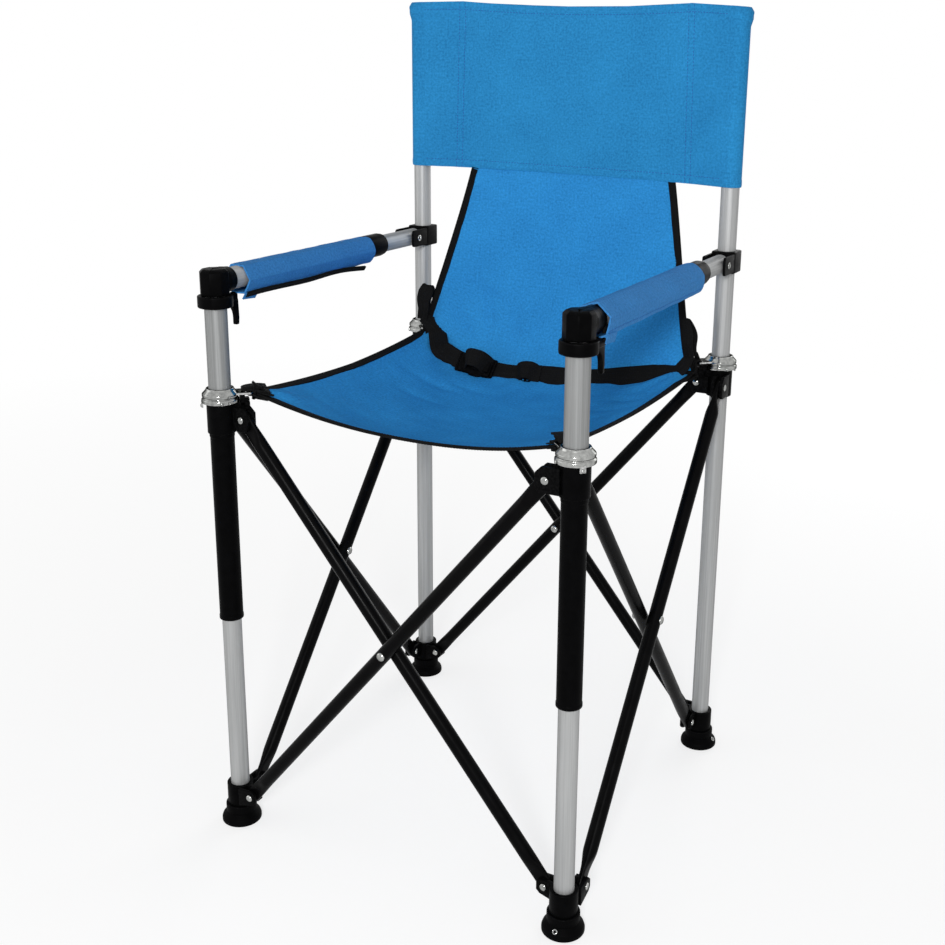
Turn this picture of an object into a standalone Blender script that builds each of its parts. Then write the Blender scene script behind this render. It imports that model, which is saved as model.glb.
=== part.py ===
"""Folding high chair: four uprights, two crossed braces on each side, swing-up armrests and a fabric seat.

The chair faces -Y and stands on z = 0, with the middle of its feet at the origin. Sizes are in metres.
"""

import math
from collections import namedtuple

import bmesh
import bpy
import numpy as np
from mathutils import Matrix, Vector

# Running gap between two pieces that touch or slide
GAP = 0.0003

# Frame: distance between upright axes, and the heights that set the scissor
POST_PITCH = 0.430
FOOT_PIVOT_Z = 0.042
SLIDER_PIVOT_Z = 0.505
PIVOT_REACH = 0.025

# Tubes
TUBE_R = 0.011
TUBE_WALL = 0.0012
OUTER_TUBE_WALL = 0.00095
FRONT_LEG_TOP = 0.500
REAR_POST_TOP = 0.944
LEG_FOOT_Z = 0.0043

# Braces: round tubes with flattened, rounded ends
BRACE_R = 0.008
BRACE_WALL = 0.0012
BRACE_SPACE = 0.0008
PADDLE_T = 0.006
PADDLE_W = 0.017
PADDLE_L = 0.013
FLARE_L = 0.025
PIN_R = 0.003
RIVET_HEAD_R = 0.0055
RIVET_HEAD_H = 0.0022

# Feet and clevis brackets
PAD_FLARE_R = 0.0233
PAD_NECK_R = 0.018
PAD_H = 0.024
PAD_FLARE_H = 0.007
PAD_NECK_Z = 0.012
PAD_CHAMFER = 0.0018
BRACKET_R = 0.0155
FOOT_BRACKET_TOP = 0.051
EAR_T = 0.004
EAR_R = 0.0085
EAR_CHAMFER = 0.004
EAR_MARGIN = 0.0015
FOOT_EAR_SLOPE = 0.006
EAR_SPACE = 0.0004
PIN_STUB = 0.0006

# Sliders, collars and sleeves
SLIDER_BELOW = 0.016
SLIDER_ABOVE = 0.0165
COLLAR_R = 0.0205
COLLAR_NECK_R = 0.0148
COLLAR_H = 0.019
COLLAR_FLANGE_H = 0.0032
COLLAR_GROOVE_Z = 0.0048
COLLAR_BEAD_Z = 0.0086
COLLAR_NECK_Z = 0.0144
COLLAR_GROOVE = 0.0018
TAB_REACH = 0.034
TAB_W = 0.022
TAB_T = 0.0022
TAB_LIFT = 0.0055
SLOT_W = 0.014
SLOT_T = 0.004
SLOT_EDGE = 0.003
SLEEVE_R = 0.0138
SLEEVE_L = 0.223
UPPER_TUBE_TAIL = 0.003

# Armrests
ARM_AXIS_Z = 0.657
ARM_PIVOT_FORWARD = 0.033
SOCKET_R = 0.0137
SOCKET_REACH = 0.034
SOCKET_DEPTH = 0.017
ELBOW_R = 0.01525
ELBOW_TOP = 0.0145
ELBOW_CHAMFER = 0.0045
LATCH_R = 0.019
LATCH_H = 0.013
LATCH_EAR_DROP = 0.003
LATCH_CHAMFER = 0.0015
LEVER_OUT = 0.006
LEVER_W = 0.0055
LEVER_T = 0.005
LEVER_BACK = 0.0425
LEVER_L = 0.027
LEVER_ARCH_R = 0.019
PLUG_DEPTH = 0.020
CONE_H = 0.0055
CONE_TOP_R = 0.0045
ARM_INNER_START_Y = -0.020
ARM_TAIL = 0.009
BUSH_R = 0.014
BUSH_L = 0.017
BUSH_OVERLAP = 0.0094
BUSH_CHAMFER = 0.001
COVER_START_Y = -0.152
COVER_L = 0.252
COVER_CORNER_R = 0.0190
COVER_T = 0.0016
COVER_SWELL = 0.0006
COVER_CLEAR = 0.0029
ARM_BRACKET_H = 0.026
ARM_EAR_T = 0.003
ARM_EAR_R = 0.011
ARM_EAR_SPACE = 0.0005
ARM_HEAD_R = 0.005
ARM_HEAD_H = 0.002

# Backrest panel and the post heads inside its pockets
HEAD_R = 0.0135
HEAD_H = 0.0085
HEAD_CHAMFER = 0.003
HEAD_FLARE_H = 0.009
PANEL_BOTTOM = 0.7485
PANEL_CROWN = 0.0055
PANEL_T = 0.0025
PANEL_SEAM_X = 0.160
PANEL_SET_BACK = 0.004
PANEL_SAG = 0.010
PANEL_TOP_DIP = 0.005
POCKET_T = 0.0015

# Seat sling: its heights, and how far its lines stand off the upright axes
SLING_T = 0.0020
SLING_TOP_HALF = 0.141
SEAT_SAG = 0.0491
SIDE_SAG = 0.0091
CREASE_RISE = 0.025
CREASE_FORWARD = 0.063
FRONT_RISE = 0.025
FRONT_INSET = 0.041
CORNER_INSET = 0.0240
CORNER_DROP = 0.0004
SIDE_INSET = 0.026
BACK_EDGE_BOW = 0.046
SLING_FULLNESS = 2.2
BACK_CURVE = 3.0
BACK_FLARE = 0.95
SEAT_CURVE = 2.4

# Lap belt and buckle
BELT_W = 0.025
BELT_T = 0.0016
BELT_LIFT = 0.0010
BUCKLE_W = 0.030
BUCKLE_T = 0.009

# Cloth grid: columns from middle to edge, the columns of the belt and buckle, and the steps of each panel
CLOTH_COLUMNS = 7
BELT_COLUMNS = range(-5, 6)
BUCKLE_COLUMNS = range(-4, -1)
BELT_ROWS = 4
BACK_STEPS = 10
REAR_STEPS = 7
FRONT_STEPS = 4

# Facets round a tube, a brace and a small pin, and round the half circle of an ear
TUBE_SIDES = 16
BRACE_SIDES = 10
PIN_SIDES = 8
NOSE_STEPS = 5

# Values worked out from the sizes above
HALF = POST_PITCH / 2
OUTER_TUBE_IN_R = TUBE_R + GAP
OUTER_TUBE_R = OUTER_TUBE_IN_R + OUTER_TUBE_WALL
OUTER_BORE_R = OUTER_TUBE_R + GAP
BRACE_RUN = POST_PITCH - 2 * PIVOT_REACH
BRACE_RISE = SLIDER_PIVOT_Z - FOOT_PIVOT_Z
BRACE_L = math.hypot(BRACE_RUN, BRACE_RISE)
BRACE_OFFSET = BRACE_R + BRACE_SPACE / 2
SLIDER_BOTTOM = SLIDER_PIVOT_Z - SLIDER_BELOW
SLIDER_TOP = SLIDER_PIVOT_Z + SLIDER_ABOVE
COLLAR_Z = SLIDER_TOP + GAP
TAB_Z = COLLAR_Z + TAB_LIFT
SLEEVE_TOP = SLIDER_BOTTOM - GAP
SLEEVE_BOTTOM = SLEEVE_TOP - SLEEVE_L
ELBOW_BASE = ARM_AXIS_Z - SOCKET_R - GAP
LATCH_TOP = ELBOW_BASE - GAP
ARM_PIVOT_Y = HALF - ARM_PIVOT_FORWARD
ARM_OUTER_END_Y = COVER_START_Y + COVER_L + COVER_CLEAR + BUSH_OVERLAP
HEAD_Z = REAR_POST_TOP
PANEL_TOP = HEAD_Z + HEAD_H + PANEL_CROWN
CORNER_XY = HALF - CORNER_INSET
CORNER_Z = TAB_Z - GAP - SLING_T / 2 - CORNER_DROP
SEAT_LOW_Z = CORNER_Z - SEAT_SAG
SEAT_SIDE_Z = CORNER_Z - SIDE_SAG

Post = namedtuple("Post", "name x y quarter front")
POSTS = (
    Post("front_left", -HALF, -HALF, 0, True),
    Post("front_right", HALF, -HALF, 1, True),
    Post("rear_right", HALF, HALF, 2, False),
    Post("rear_left", -HALF, HALF, 3, False),
)
SIDES = ("front", "right", "rear", "left")

COLOURS = {
    "anodised_tube": ((0.62, 0.62, 0.63), 0.35, 1.0),
    "black_plastic": ((0.012, 0.012, 0.013), 0.45, 0.0),
    "black_steel": ((0.010, 0.010, 0.011), 0.35, 0.0),
    "zinc": ((0.55, 0.56, 0.55), 0.30, 1.0),
    "blue_fabric": ((0.03, 0.20, 0.50), 0.85, 0.0),
    "black_webbing": ((0.008, 0.008, 0.008), 0.90, 0.0),
}


def clear_scene():
    for item in list(bpy.data.objects):
        bpy.data.objects.remove(item, do_unlink=True)


def make_materials():
    materials = {}
    for name, (colour, roughness, metallic) in COLOURS.items():
        material = bpy.data.materials.new(name)
        material.use_nodes = True
        shader = material.node_tree.nodes["Principled BSDF"]
        shader.inputs["Base Color"].default_value = (*colour, 1.0)
        shader.inputs["Roughness"].default_value = roughness
        shader.inputs["Metallic"].default_value = metallic
        materials[name] = material
    return materials


def finished(bm, name):
    """A mesh from bm, with its faces pointing out."""
    bmesh.ops.recalc_face_normals(bm, faces=bm.faces)
    mesh = bpy.data.meshes.new(name)
    bm.to_mesh(mesh)
    bm.free()
    return mesh


def lofted(rings, hollow=False):
    """A solid through rings of as many points each, capped, or joined end to end when it is hollow."""
    bm = bmesh.new()
    loops = [[bm.verts.new(point) for point in ring] for ring in rings]
    pairs = list(zip(loops, loops[1:]))
    if hollow:
        pairs.append((loops[-1], loops[0]))
    for lower, upper in pairs:
        count = len(lower)
        for i in range(count):
            j = (i + 1) % count
            bm.faces.new((lower[i], lower[j], upper[j], upper[i]))
    if not hollow:
        bm.faces.new(loops[0])
        bm.faces.new(loops[-1])
    return finished(bm, "lofted")


def circle(radius, z, sides):
    turns = [2 * math.pi * (i + 0.5) / sides for i in range(sides)]
    return [Vector((radius * math.cos(t), radius * math.sin(t), z)) for t in turns]


def turned(profile, sides=TUBE_SIDES, hollow=False):
    """A solid turned about Z from (radius, height) points."""
    return lofted([circle(radius, z, sides) for radius, z in profile], hollow)


def rod(radius, low, high, sides=TUBE_SIDES):
    return turned([(radius, low), (radius, high)], sides)


def pipe(radius, bore, low, high, sides=TUBE_SIDES):
    return turned([(radius, low), (radius, high), (bore, high), (bore, low)], sides, hollow=True)


def plate(outline, low, high):
    """A prism of an outline in X and Z, from y = low to y = high."""
    return lofted([[Vector((x, y, z)) for x, z in outline] for y in (low, high)])


def box(low, high):
    outline = [(low[0], low[2]), (high[0], low[2]), (high[0], high[2]), (low[0], high[2])]
    return plate(outline, low[1], high[1])


def moved(mesh, matrix):
    result = mesh.copy()
    result.transform(matrix)
    return result


def quarter_turn(count=1):
    return Matrix.Rotation(count * math.pi / 2, 4, "Z")


def along_y(mesh):
    """The mesh with its Z axis laid along +Y."""
    return moved(mesh, Matrix.Rotation(-math.pi / 2, 4, "X"))


def along_x(mesh):
    """The mesh with its Z axis laid along +X."""
    return moved(mesh, Matrix.Rotation(math.pi / 2, 4, "Y"))


def boolean(operation, base, tools):
    """The base joined with, or cut by, each tool."""
    holder = bpy.data.objects.new("holder", base)
    bpy.context.scene.collection.objects.link(holder)
    helpers = [holder]
    for tool in tools:
        helper = bpy.data.objects.new("tool", tool)
        helper.hide_render = True
        helper.display_type = "WIRE"
        bpy.context.scene.collection.objects.link(helper)
        modifier = holder.modifiers.new(operation.lower(), "BOOLEAN")
        modifier.operation = operation
        modifier.solver = "EXACT"
        modifier.object = helper
        helpers.append(helper)
    bpy.context.view_layer.update()
    graph = bpy.context.evaluated_depsgraph_get()
    result = bpy.data.meshes.new_from_object(holder.evaluated_get(graph))
    for helper in helpers:
        bpy.data.objects.remove(helper, do_unlink=True)
    return result


def joined(base, *tools):
    return boolean("UNION", base, tools)


def cut(base, *tools):
    return boolean("DIFFERENCE", base, tools)


class Chair:
    """Adds named pieces, each parented to the empty of the body that it moves with."""

    def __init__(self):
        self.materials = make_materials()
        self.bodies = {}

    def body(self, name, pivot=(0, 0, 0)):
        empty = bpy.data.objects.new(name + "_axis", None)
        empty.location = pivot
        bpy.context.scene.collection.objects.link(empty)
        self.bodies[name] = empty

    def add(self, name, mesh, material, body, at=(0, 0, 0), turn=None):
        part = bpy.data.objects.new(name, mesh.copy())
        part.data.name = name
        part.data.materials.clear()
        part.data.materials.append(self.materials[material])
        part.data.shade_smooth()
        part.data.set_sharp_from_angle(angle=math.radians(35))
        bpy.context.scene.collection.objects.link(part)
        part.parent = self.bodies[body]
        part.location = Vector(at) - self.bodies[body].location
        if turn is not None:
            part.rotation_euler = turn.to_euler()
        return part


def side_axes(k):
    """The direction along side k and its outward normal."""
    along = quarter_turn(k) @ Vector((1, 0, 0))
    outward = quarter_turn(k) @ Vector((0, -1, 0))
    return along, outward


def brace_ends(k, outer):
    """Foot and slider pivots of a brace: the outer one rises along side k, the inner one against it."""
    along, outward = side_axes(k)
    start = POSTS[k]
    finish = POSTS[(k + 1) % 4]
    near = Vector((start.x, start.y, 0)) + PIVOT_REACH * along
    far = Vector((finish.x, finish.y, 0)) - PIVOT_REACH * along
    offset = outward * (BRACE_OFFSET if outer else -BRACE_OFFSET)
    foot, top = (near, far) if outer else (far, near)
    return foot + offset + Vector((0, 0, FOOT_PIVOT_Z)), top + offset + Vector((0, 0, SLIDER_PIVOT_Z))


def make_bodies(chair):
    """One empty for each moving body, on the axis that the body turns or slides on."""
    for k, side in enumerate(SIDES):
        outer_foot, outer_top = brace_ends(k, True)
        inner_foot, inner_top = brace_ends(k, False)
        middle = (outer_foot + outer_top + inner_foot + inner_top) / 4
        chair.body(side + "_outer_brace", middle if side == "left" else outer_foot)
        chair.body(side + "_inner_brace", middle if side in ("front", "right") else inner_foot)
    leg_pivots = {
        "front_left": Vector((-HALF, -HALF, 0)),
        "front_right": brace_ends(0, False)[0],
        "rear_right": brace_ends(1, False)[0],
        "rear_left": brace_ends(3, True)[0],
    }
    slider_pivots = {
        "front_left": brace_ends(0, False)[1],
        "front_right": brace_ends(0, True)[1],
        "rear_right": brace_ends(1, True)[1],
        "rear_left": brace_ends(3, False)[1],
    }
    for post in POSTS:
        chair.body(post.name + "_leg", leg_pivots[post.name])
        chair.body(post.name + "_slider", slider_pivots[post.name])
    for side, x in (("left", -HALF), ("right", HALF)):
        chair.body(side + "_latch", (x, -HALF, LATCH_TOP))
        chair.body(side + "_arm_bracket", (x, HALF, ARM_AXIS_Z))
        chair.body(side + "_armrest", (x, ARM_PIVOT_Y, ARM_AXIS_Z))
    chair.body("seat_front", (0, -CORNER_XY, CORNER_Z))
    chair.body("seat_rear", (0, CORNER_XY, CORNER_Z))


def foot_pad_mesh():
    bore = TUBE_R + GAP
    floor = LEG_FOOT_Z - GAP
    outline = [(PAD_FLARE_R - PAD_CHAMFER, 0), (PAD_FLARE_R, PAD_CHAMFER), (PAD_FLARE_R, PAD_FLARE_H)]
    outline += [(PAD_NECK_R, PAD_NECK_Z), (PAD_NECK_R, PAD_H), (bore, PAD_H), (bore, floor)]
    return turned(outline)


def clevis(pivot_z, offset, low, high, slope):
    """Two ears from z = low to high and a pin that hold a brace end, reaching along +X at y = offset."""
    tip = PIVOT_REACH + EAR_R
    root = BRACKET_R * 0.6
    outline = [(root, low - slope), (tip - EAR_CHAMFER, low), (tip, low + EAR_CHAMFER)]
    outline += [(tip, high - EAR_CHAMFER), (tip - EAR_CHAMFER, high), (root, high)]
    inner = PADDLE_T / 2 + EAR_SPACE
    outer = inner + EAR_T
    pin = along_y(rod(PIN_R, -outer - PIN_STUB, outer + PIN_STUB, PIN_SIDES))
    pin.transform(Matrix.Translation((PIVOT_REACH, offset, pivot_z)))
    near = plate(outline, offset - outer, offset - inner)
    far = plate(outline, offset + inner, offset + outer)
    return near, far, pin


def clevis_bracket_mesh(low, high, bore, ears):
    """A barrel on an upright with two clevises at a right angle."""
    first = clevis(*ears)
    second = [moved(piece, quarter_turn()) for piece in first]
    body = joined(rod(BRACKET_R, low, high), *first, *second)
    return cut(body, rod(bore, low - BRACKET_R, high + BRACKET_R))


def collar_mesh(bore):
    """A pressed ring with a flat slotted tab, which points to the seat corner along +X."""
    z = COLLAR_Z
    waist = COLLAR_R - COLLAR_GROOVE
    ring = turned([
        (COLLAR_R, z), (COLLAR_R, z + COLLAR_FLANGE_H), (waist, z + COLLAR_GROOVE_Z),
        (waist, z + COLLAR_BEAD_Z), (COLLAR_NECK_R, z + COLLAR_NECK_Z), (COLLAR_NECK_R, z + COLLAR_H),
    ])
    tab = box((bore, -TAB_W / 2, TAB_Z), (TAB_REACH, TAB_W / 2, TAB_Z + TAB_T))
    slot_end = TAB_REACH - SLOT_EDGE
    slot = box((slot_end - SLOT_T, -SLOT_W / 2, TAB_Z - TAB_T), (slot_end, SLOT_W / 2, TAB_Z + 2 * TAB_T))
    return cut(joined(ring, tab), rod(bore, z - COLLAR_H, z + 2 * COLLAR_H), slot)


def section(s, half_width, half_thick, power):
    """A rounded cross-section of a brace, s along it."""
    points = []
    for i in range(BRACE_SIDES):
        t = 2 * math.pi * (i + 0.5) / BRACE_SIDES
        x = math.copysign(abs(math.cos(t)) ** power, math.cos(t))
        y = math.copysign(abs(math.sin(t)) ** power, math.sin(t))
        points.append(Vector((half_width * x, half_thick * y, s)))
    return points


def brace_mesh():
    """A tube along +Z from its foot pivot, flattened across Y at both ends and drilled for three pins."""
    w = PADDLE_W / 2
    t = PADDLE_T / 2
    flat = 0.5
    rows = [(-w * math.cos(a), w * math.sin(a), t, flat) for a in (0.35, 0.9, math.pi / 2)]
    rows.append((PADDLE_L, w, t, flat))
    for step in (0.5, 1.0):
        ease = step * step * (3 - 2 * step)
        width = w + (BRACE_R - w) * ease
        thick = t + (BRACE_R - t) * ease
        rows.append((PADDLE_L + FLARE_L * step, width, thick, flat + (1 - flat) * ease))
    rows += [(BRACE_L - s, width, thick, power) for s, width, thick, power in reversed(rows)]
    body = lofted([section(*row) for row in rows])
    inside = PADDLE_L + FLARE_L
    core = rod(BRACE_R - BRACE_WALL, inside, BRACE_L - inside, BRACE_SIDES)
    drill = along_y(rod(PIN_R + GAP, -2 * BRACE_R, 2 * BRACE_R, PIN_SIDES))
    holes = [moved(drill, Matrix.Translation((0, 0, s))) for s in (0, BRACE_L / 2, BRACE_L)]
    return cut(body, core, *holes)


def headed_pin(reach, head_r, head_h):
    """A pin along Z with a low round head beyond z = reach at each end."""
    crown = [(head_r * 0.55, reach + head_h), (head_r * 0.9, reach + head_h * 0.6)]
    half = [*crown, (head_r, reach), (PIN_R, reach)]
    return turned([(r, -z) for r, z in half] + half[::-1], PIN_SIDES)


def latch_mesh(out):
    """A ring on the tube top with an ear and a hanging finger lever behind it, set towards out (-1 or 1)."""
    top = LATCH_TOP
    bottom = top - LATCH_H
    rim = LATCH_R - LATCH_CHAMFER
    low_edge = bottom + LATCH_CHAMFER
    high_edge = top - LATCH_CHAMFER
    ring = turned([(rim, bottom), (LATCH_R, low_edge), (LATCH_R, high_edge), (rim, top)])
    front = LEVER_BACK - LEVER_T
    arch_start = front - LEVER_ARCH_R
    ear_top = top - LATCH_EAR_DROP
    tip = bottom - LEVER_L
    turns = [math.pi / 2 * i / NOSE_STEPS for i in range(NOSE_STEPS + 1)]
    arch = [
        (arch_start + LEVER_ARCH_R * math.sin(t), bottom - LEVER_ARCH_R * (1 - math.cos(t))) for t in turns
    ]
    root = arch_start - PIN_R
    outline = [(root, low_edge), *arch, (front, tip)]
    outline += [(LEVER_BACK, tip), (LEVER_BACK, ear_top), (root, ear_top)]
    lever = moved(plate(outline, -LEVER_W / 2, LEVER_W / 2), quarter_turn())
    lever.transform(Matrix.Translation((out * LEVER_OUT, 0, 0)))
    low = (out * LEVER_OUT - LEVER_W, root, low_edge)
    high = (out * LEVER_OUT + LEVER_W, LEVER_BACK - LATCH_CHAMFER, ear_top - LATCH_CHAMFER)
    bore = rod(OUTER_BORE_R, tip, top + LATCH_H)
    return cut(joined(ring, lever, box(low, high)), bore)


def plug_mesh():
    """A plug in the front tube's top, with a cone that the elbow sits on."""
    top = LATCH_TOP
    return turned([(TUBE_R, top - PLUG_DEPTH), (TUBE_R, top), (CONE_TOP_R, top + CONE_H)])


def elbow_mesh():
    """The corner piece of an armrest: a chamfered cup, and a socket for the arm tube along +Y."""
    top = ARM_AXIS_Z + ELBOW_TOP
    cup = turned([(ELBOW_R, ELBOW_BASE), (ELBOW_R, top - ELBOW_CHAMFER), (ELBOW_R - ELBOW_CHAMFER, top)])
    lift = Matrix.Translation((0, 0, ARM_AXIS_Z))
    socket = moved(along_y(rod(SOCKET_R, 0, SOCKET_REACH)), lift)
    bore = moved(along_y(rod(OUTER_BORE_R, SOCKET_DEPTH, SOCKET_REACH + SOCKET_DEPTH)), lift)
    slack = 2 * GAP
    slope = (TUBE_R - CONE_TOP_R) / CONE_H
    under = ELBOW_R
    wide = (TUBE_R + slack + under * slope, ELBOW_BASE - under - GAP)
    narrow = (CONE_TOP_R + slack, LATCH_TOP + CONE_H + slack)
    recess = turned([wide, narrow])
    return cut(joined(cup, socket), bore, recess)


def bush_mesh():
    """A stepped ring on the outer arm tube's end, which guides the inner tube."""
    end = ARM_OUTER_END_Y + GAP
    low = end - BUSH_OVERLAP
    high = low + BUSH_L
    rim = BUSH_R - BUSH_CHAMFER
    inner = TUBE_R + GAP
    profile = [(OUTER_BORE_R, low), (rim, low), (BUSH_R, low + BUSH_CHAMFER), (BUSH_R, high - BUSH_CHAMFER)]
    profile += [(rim, high), (inner, high), (inner, end), (OUTER_BORE_R, end)]
    return along_y(turned(profile, hollow=True))


def cover_mesh():
    """A six-sided fabric wrap that rests on the arm tube, with an edge along its top."""
    inside = COVER_CORNER_R - COVER_T / math.cos(math.pi / 6)
    drop = (inside * math.cos(math.pi / 6) - OUTER_TUBE_R - GAP) / math.cos(math.pi / 6)
    turns = [math.pi * (i / 3 + 0.5) for i in range(6)]
    ends = [COVER_START_Y, COVER_START_Y + COVER_L / 2, COVER_START_Y + COVER_L]
    rings = []
    for radius, stations in ((COVER_CORNER_R, ends), (inside, ends[::-1])):
        for y in stations:
            reach = radius + (COVER_SWELL if y == ends[1] else 0.0)
            rings.append([Vector((reach * math.cos(t), y, reach * math.sin(t) - drop)) for t in turns])
    return lofted(rings, hollow=True)


def arm_inner_mesh():
    """The rear arm tube, drilled across for its pivot."""
    tube = along_y(pipe(TUBE_R, TUBE_R - TUBE_WALL, ARM_INNER_START_Y, ARM_PIVOT_Y + ARM_TAIL))
    drill = along_x(rod(PIN_R + GAP, -2 * TUBE_R, 2 * TUBE_R, PIN_SIDES))
    return cut(tube, moved(drill, Matrix.Translation((0, ARM_PIVOT_Y, 0))))


def arm_bracket_mesh():
    """A barrel on the rear post with two drilled ears that reach forward on both sides of the arm tube."""
    half = ARM_BRACKET_H / 2
    inner = TUBE_R + ARM_EAR_SPACE
    outer = inner + ARM_EAR_T
    turns = [math.pi * (i / NOSE_STEPS + 0.5) for i in range(NOSE_STEPS + 1)]
    nose = [(-ARM_PIVOT_FORWARD + ARM_EAR_R * math.cos(t), ARM_EAR_R * math.sin(t)) for t in turns]
    outline = [(0.0, ARM_EAR_R), *nose, (0.0, -ARM_EAR_R)]
    ears = [plate(outline, inner, outer), plate(outline, -outer, -inner)]
    drill = along_y(rod(PIN_R + GAP, -2 * outer, 2 * outer, PIN_SIDES))
    drill.transform(Matrix.Translation((-ARM_PIVOT_FORWARD, 0, 0)))
    body = joined(rod(BRACKET_R, -half, half), *ears)
    body = cut(body, rod(TUBE_R + GAP, -2 * half, 2 * half), drill)
    return moved(body, quarter_turn())


def rear_post_mesh():
    """A rear upright with a headed plug in its top, which the backrest pocket hangs on."""
    bore = TUBE_R - TUBE_WALL
    top = HEAD_Z + HEAD_H
    return turned([
        (bore, HEAD_Z), (bore, LEG_FOOT_Z), (TUBE_R, LEG_FOOT_Z), (TUBE_R, HEAD_Z), (HEAD_R, HEAD_Z),
        (HEAD_R, top - HEAD_CHAMFER), (HEAD_R - HEAD_CHAMFER, top),
    ])


def panel_centre(x):
    """How far back the middle of the backrest cloth lies at x."""
    share = min(abs(x) / PANEL_SEAM_X, 1.0)
    past = max(abs(x) - PANEL_SEAM_X, 0.0) / (HALF - PANEL_SEAM_X)
    return HALF + PANEL_SET_BACK * (1 - min(past, 1.0)) + PANEL_SAG * (1 - share * share)


def panel_outline(pocket_r):
    """The plan of the backrest: a pocket round each post, narrowing to a seam, and the cloth between."""
    across = [PANEL_SEAM_X * i / 4 for i in range(-4, 5)]
    front = []
    for x in across:
        front.append((x, panel_centre(x) - PANEL_T / 2))
    steps = 8
    tilt = math.asin((pocket_r - PANEL_T / 2) / (HALF - PANEL_SEAM_X))
    span = math.pi + 2 * tilt
    right = []
    for i in range(steps + 1):
        turn = -span / 2 + span * i / steps
        right.append((HALF + pocket_r * math.cos(turn), HALF + pocket_r * math.sin(turn)))
    back = [(x, panel_centre(x) + PANEL_T / 2) for x in reversed(across)]
    left = [(-x, y) for x, y in reversed(right)]
    return front + right + back + left


def backrest_mesh():
    """The backrest cloth with a blind pocket over each rear post and its head."""
    plain_r = TUBE_R + GAP + POCKET_T
    head_r = HEAD_R + GAP + POCKET_T
    rows = [
        (PANEL_BOTTOM, plain_r), (HEAD_Z - HEAD_FLARE_H, plain_r), (HEAD_Z, head_r),
        (HEAD_Z + HEAD_H, head_r), (PANEL_TOP, head_r - HEAD_CHAMFER),
    ]
    rings = []
    for z, radius in rows:
        ring = []
        for x, y in panel_outline(radius):
            share = min(abs(x) / PANEL_SEAM_X, 1.0)
            dip = PANEL_TOP_DIP * (1 - share * share) * (z - PANEL_BOTTOM) / (PANEL_TOP - PANEL_BOTTOM)
            ring.append(Vector((x, y, z - dip)))
        rings.append(ring)
    tube_room = TUBE_R + GAP
    head_room = HEAD_R + GAP
    flare_z = HEAD_Z - HEAD_FLARE_H / 2
    room = turned([
        (tube_room, PANEL_BOTTOM - HEAD_H), (tube_room, flare_z), (head_room, HEAD_Z - GAP),
        (head_room, HEAD_Z + HEAD_H + GAP),
    ])
    return cut(lofted(rings), *[moved(room, Matrix.Translation((x, HALF, 0))) for x in (-HALF, HALF)])


class Sling:
    """The hanging seat cloth: row 0 is its seam with the backrest, row 1 the crease, row 2 the front edge."""

    first = 0.0
    last = 2.0

    def middle(self, v):
        """(y, z) of the cloth's middle line at row v."""
        crease_y = HALF - CREASE_FORWARD
        if v <= 1:
            top_y = panel_centre(0)
            top_z = PANEL_BOTTOM - GAP
            crease_z = SEAT_LOW_Z + CREASE_RISE
            return top_y + (crease_y - top_y) * v ** BACK_CURVE, top_z + (crease_z - top_z) * v
        along = v - 1
        rise = CREASE_RISE if along < 0.5 else FRONT_RISE
        y = crease_y + (FRONT_INSET - HALF - crease_y) * along
        return y, SEAT_LOW_Z + rise * abs(2 * along - 1) ** SEAT_CURVE

    def edge(self, v):
        """(x, y, z) of the cloth's right edge at row v."""
        if v <= 1:
            top_y = panel_centre(SLING_TOP_HALF)
            top_z = PANEL_BOTTOM - GAP
            x = CORNER_XY + (SLING_TOP_HALF - CORNER_XY) * (1 - v) ** BACK_FLARE
            bow = BACK_EDGE_BOW * v * v * math.sqrt(1 - v)
            return x, top_y + (CORNER_XY - top_y) * v - bow, top_z + (CORNER_Z - top_z) * v
        along = 2 * (v - 1) - 1
        x = HALF - SIDE_INSET + (SIDE_INSET - CORNER_INSET) * along * along
        return x, -CORNER_XY * along, SEAT_SIDE_Z + (CORNER_Z - SEAT_SIDE_Z) * along * along

    def point(self, u, v):
        """The cloth's middle surface: u from -1 to 1 across, v the row."""
        y, z = self.middle(v)
        edge_x, edge_y, edge_z = self.edge(v)
        fall = abs(u) ** SLING_FULLNESS
        return np.array((u * edge_x, y + (edge_y - y) * fall, z + (edge_z - z) * fall))

    def normal(self, u, v):
        """The surface normal on the side that a child sits on."""
        step = 0.01
        across = self.point(min(u + step, 1), v) - self.point(max(u - step, -1), v)
        along = self.point(u, min(v + step, self.last)) - self.point(u, max(v - step, self.first))
        normal = np.cross(along, across)
        return normal / np.linalg.norm(normal)

    def band(self, u, v, width):
        """The rows half a width up and down the cloth from v."""
        step = 0.002
        ends = []
        for sign in (-1, 1):
            at = v
            walked = 0.0
            spot = self.point(u, at)
            while walked < width / 2:
                at += sign * step
                walked += np.linalg.norm(self.point(u, at) - spot)
                spot = self.point(u, at)
            ends.append(at)
        return ends

    def slab(self, rows, low, high):
        """A closed slab between two offsets from the cloth, over a grid of (u, v) rows."""
        lower = [[self.point(u, v) + low * self.normal(u, v) for u, v in row] for row in rows]
        upper = [[self.point(u, v) + high * self.normal(u, v) for u, v in row] for row in rows]
        rings = [[Vector(p) for p in below] + [Vector(p) for p in reversed(above)]
                 for below, above in zip(lower, upper)]
        bm = bmesh.new()
        loops = [[bm.verts.new(p) for p in ring] for ring in rings]
        count = len(rings[0])
        half = count // 2
        for first, second in zip(loops, loops[1:]):
            for i in range(count):
                j = (i + 1) % count
                bm.faces.new((first[i], first[j], second[j], second[i]))
        for loop in (loops[0], loops[-1]):
            for i in range(half - 1):
                bm.faces.new((loop[i], loop[i + 1], loop[count - 2 - i], loop[count - 1 - i]))
        return finished(bm, "slab")


def cloth_column(i):
    """How far across the cloth column i lies, from -1 to 1."""
    return math.copysign(abs(i / CLOTH_COLUMNS) ** 0.9, i)


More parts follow.
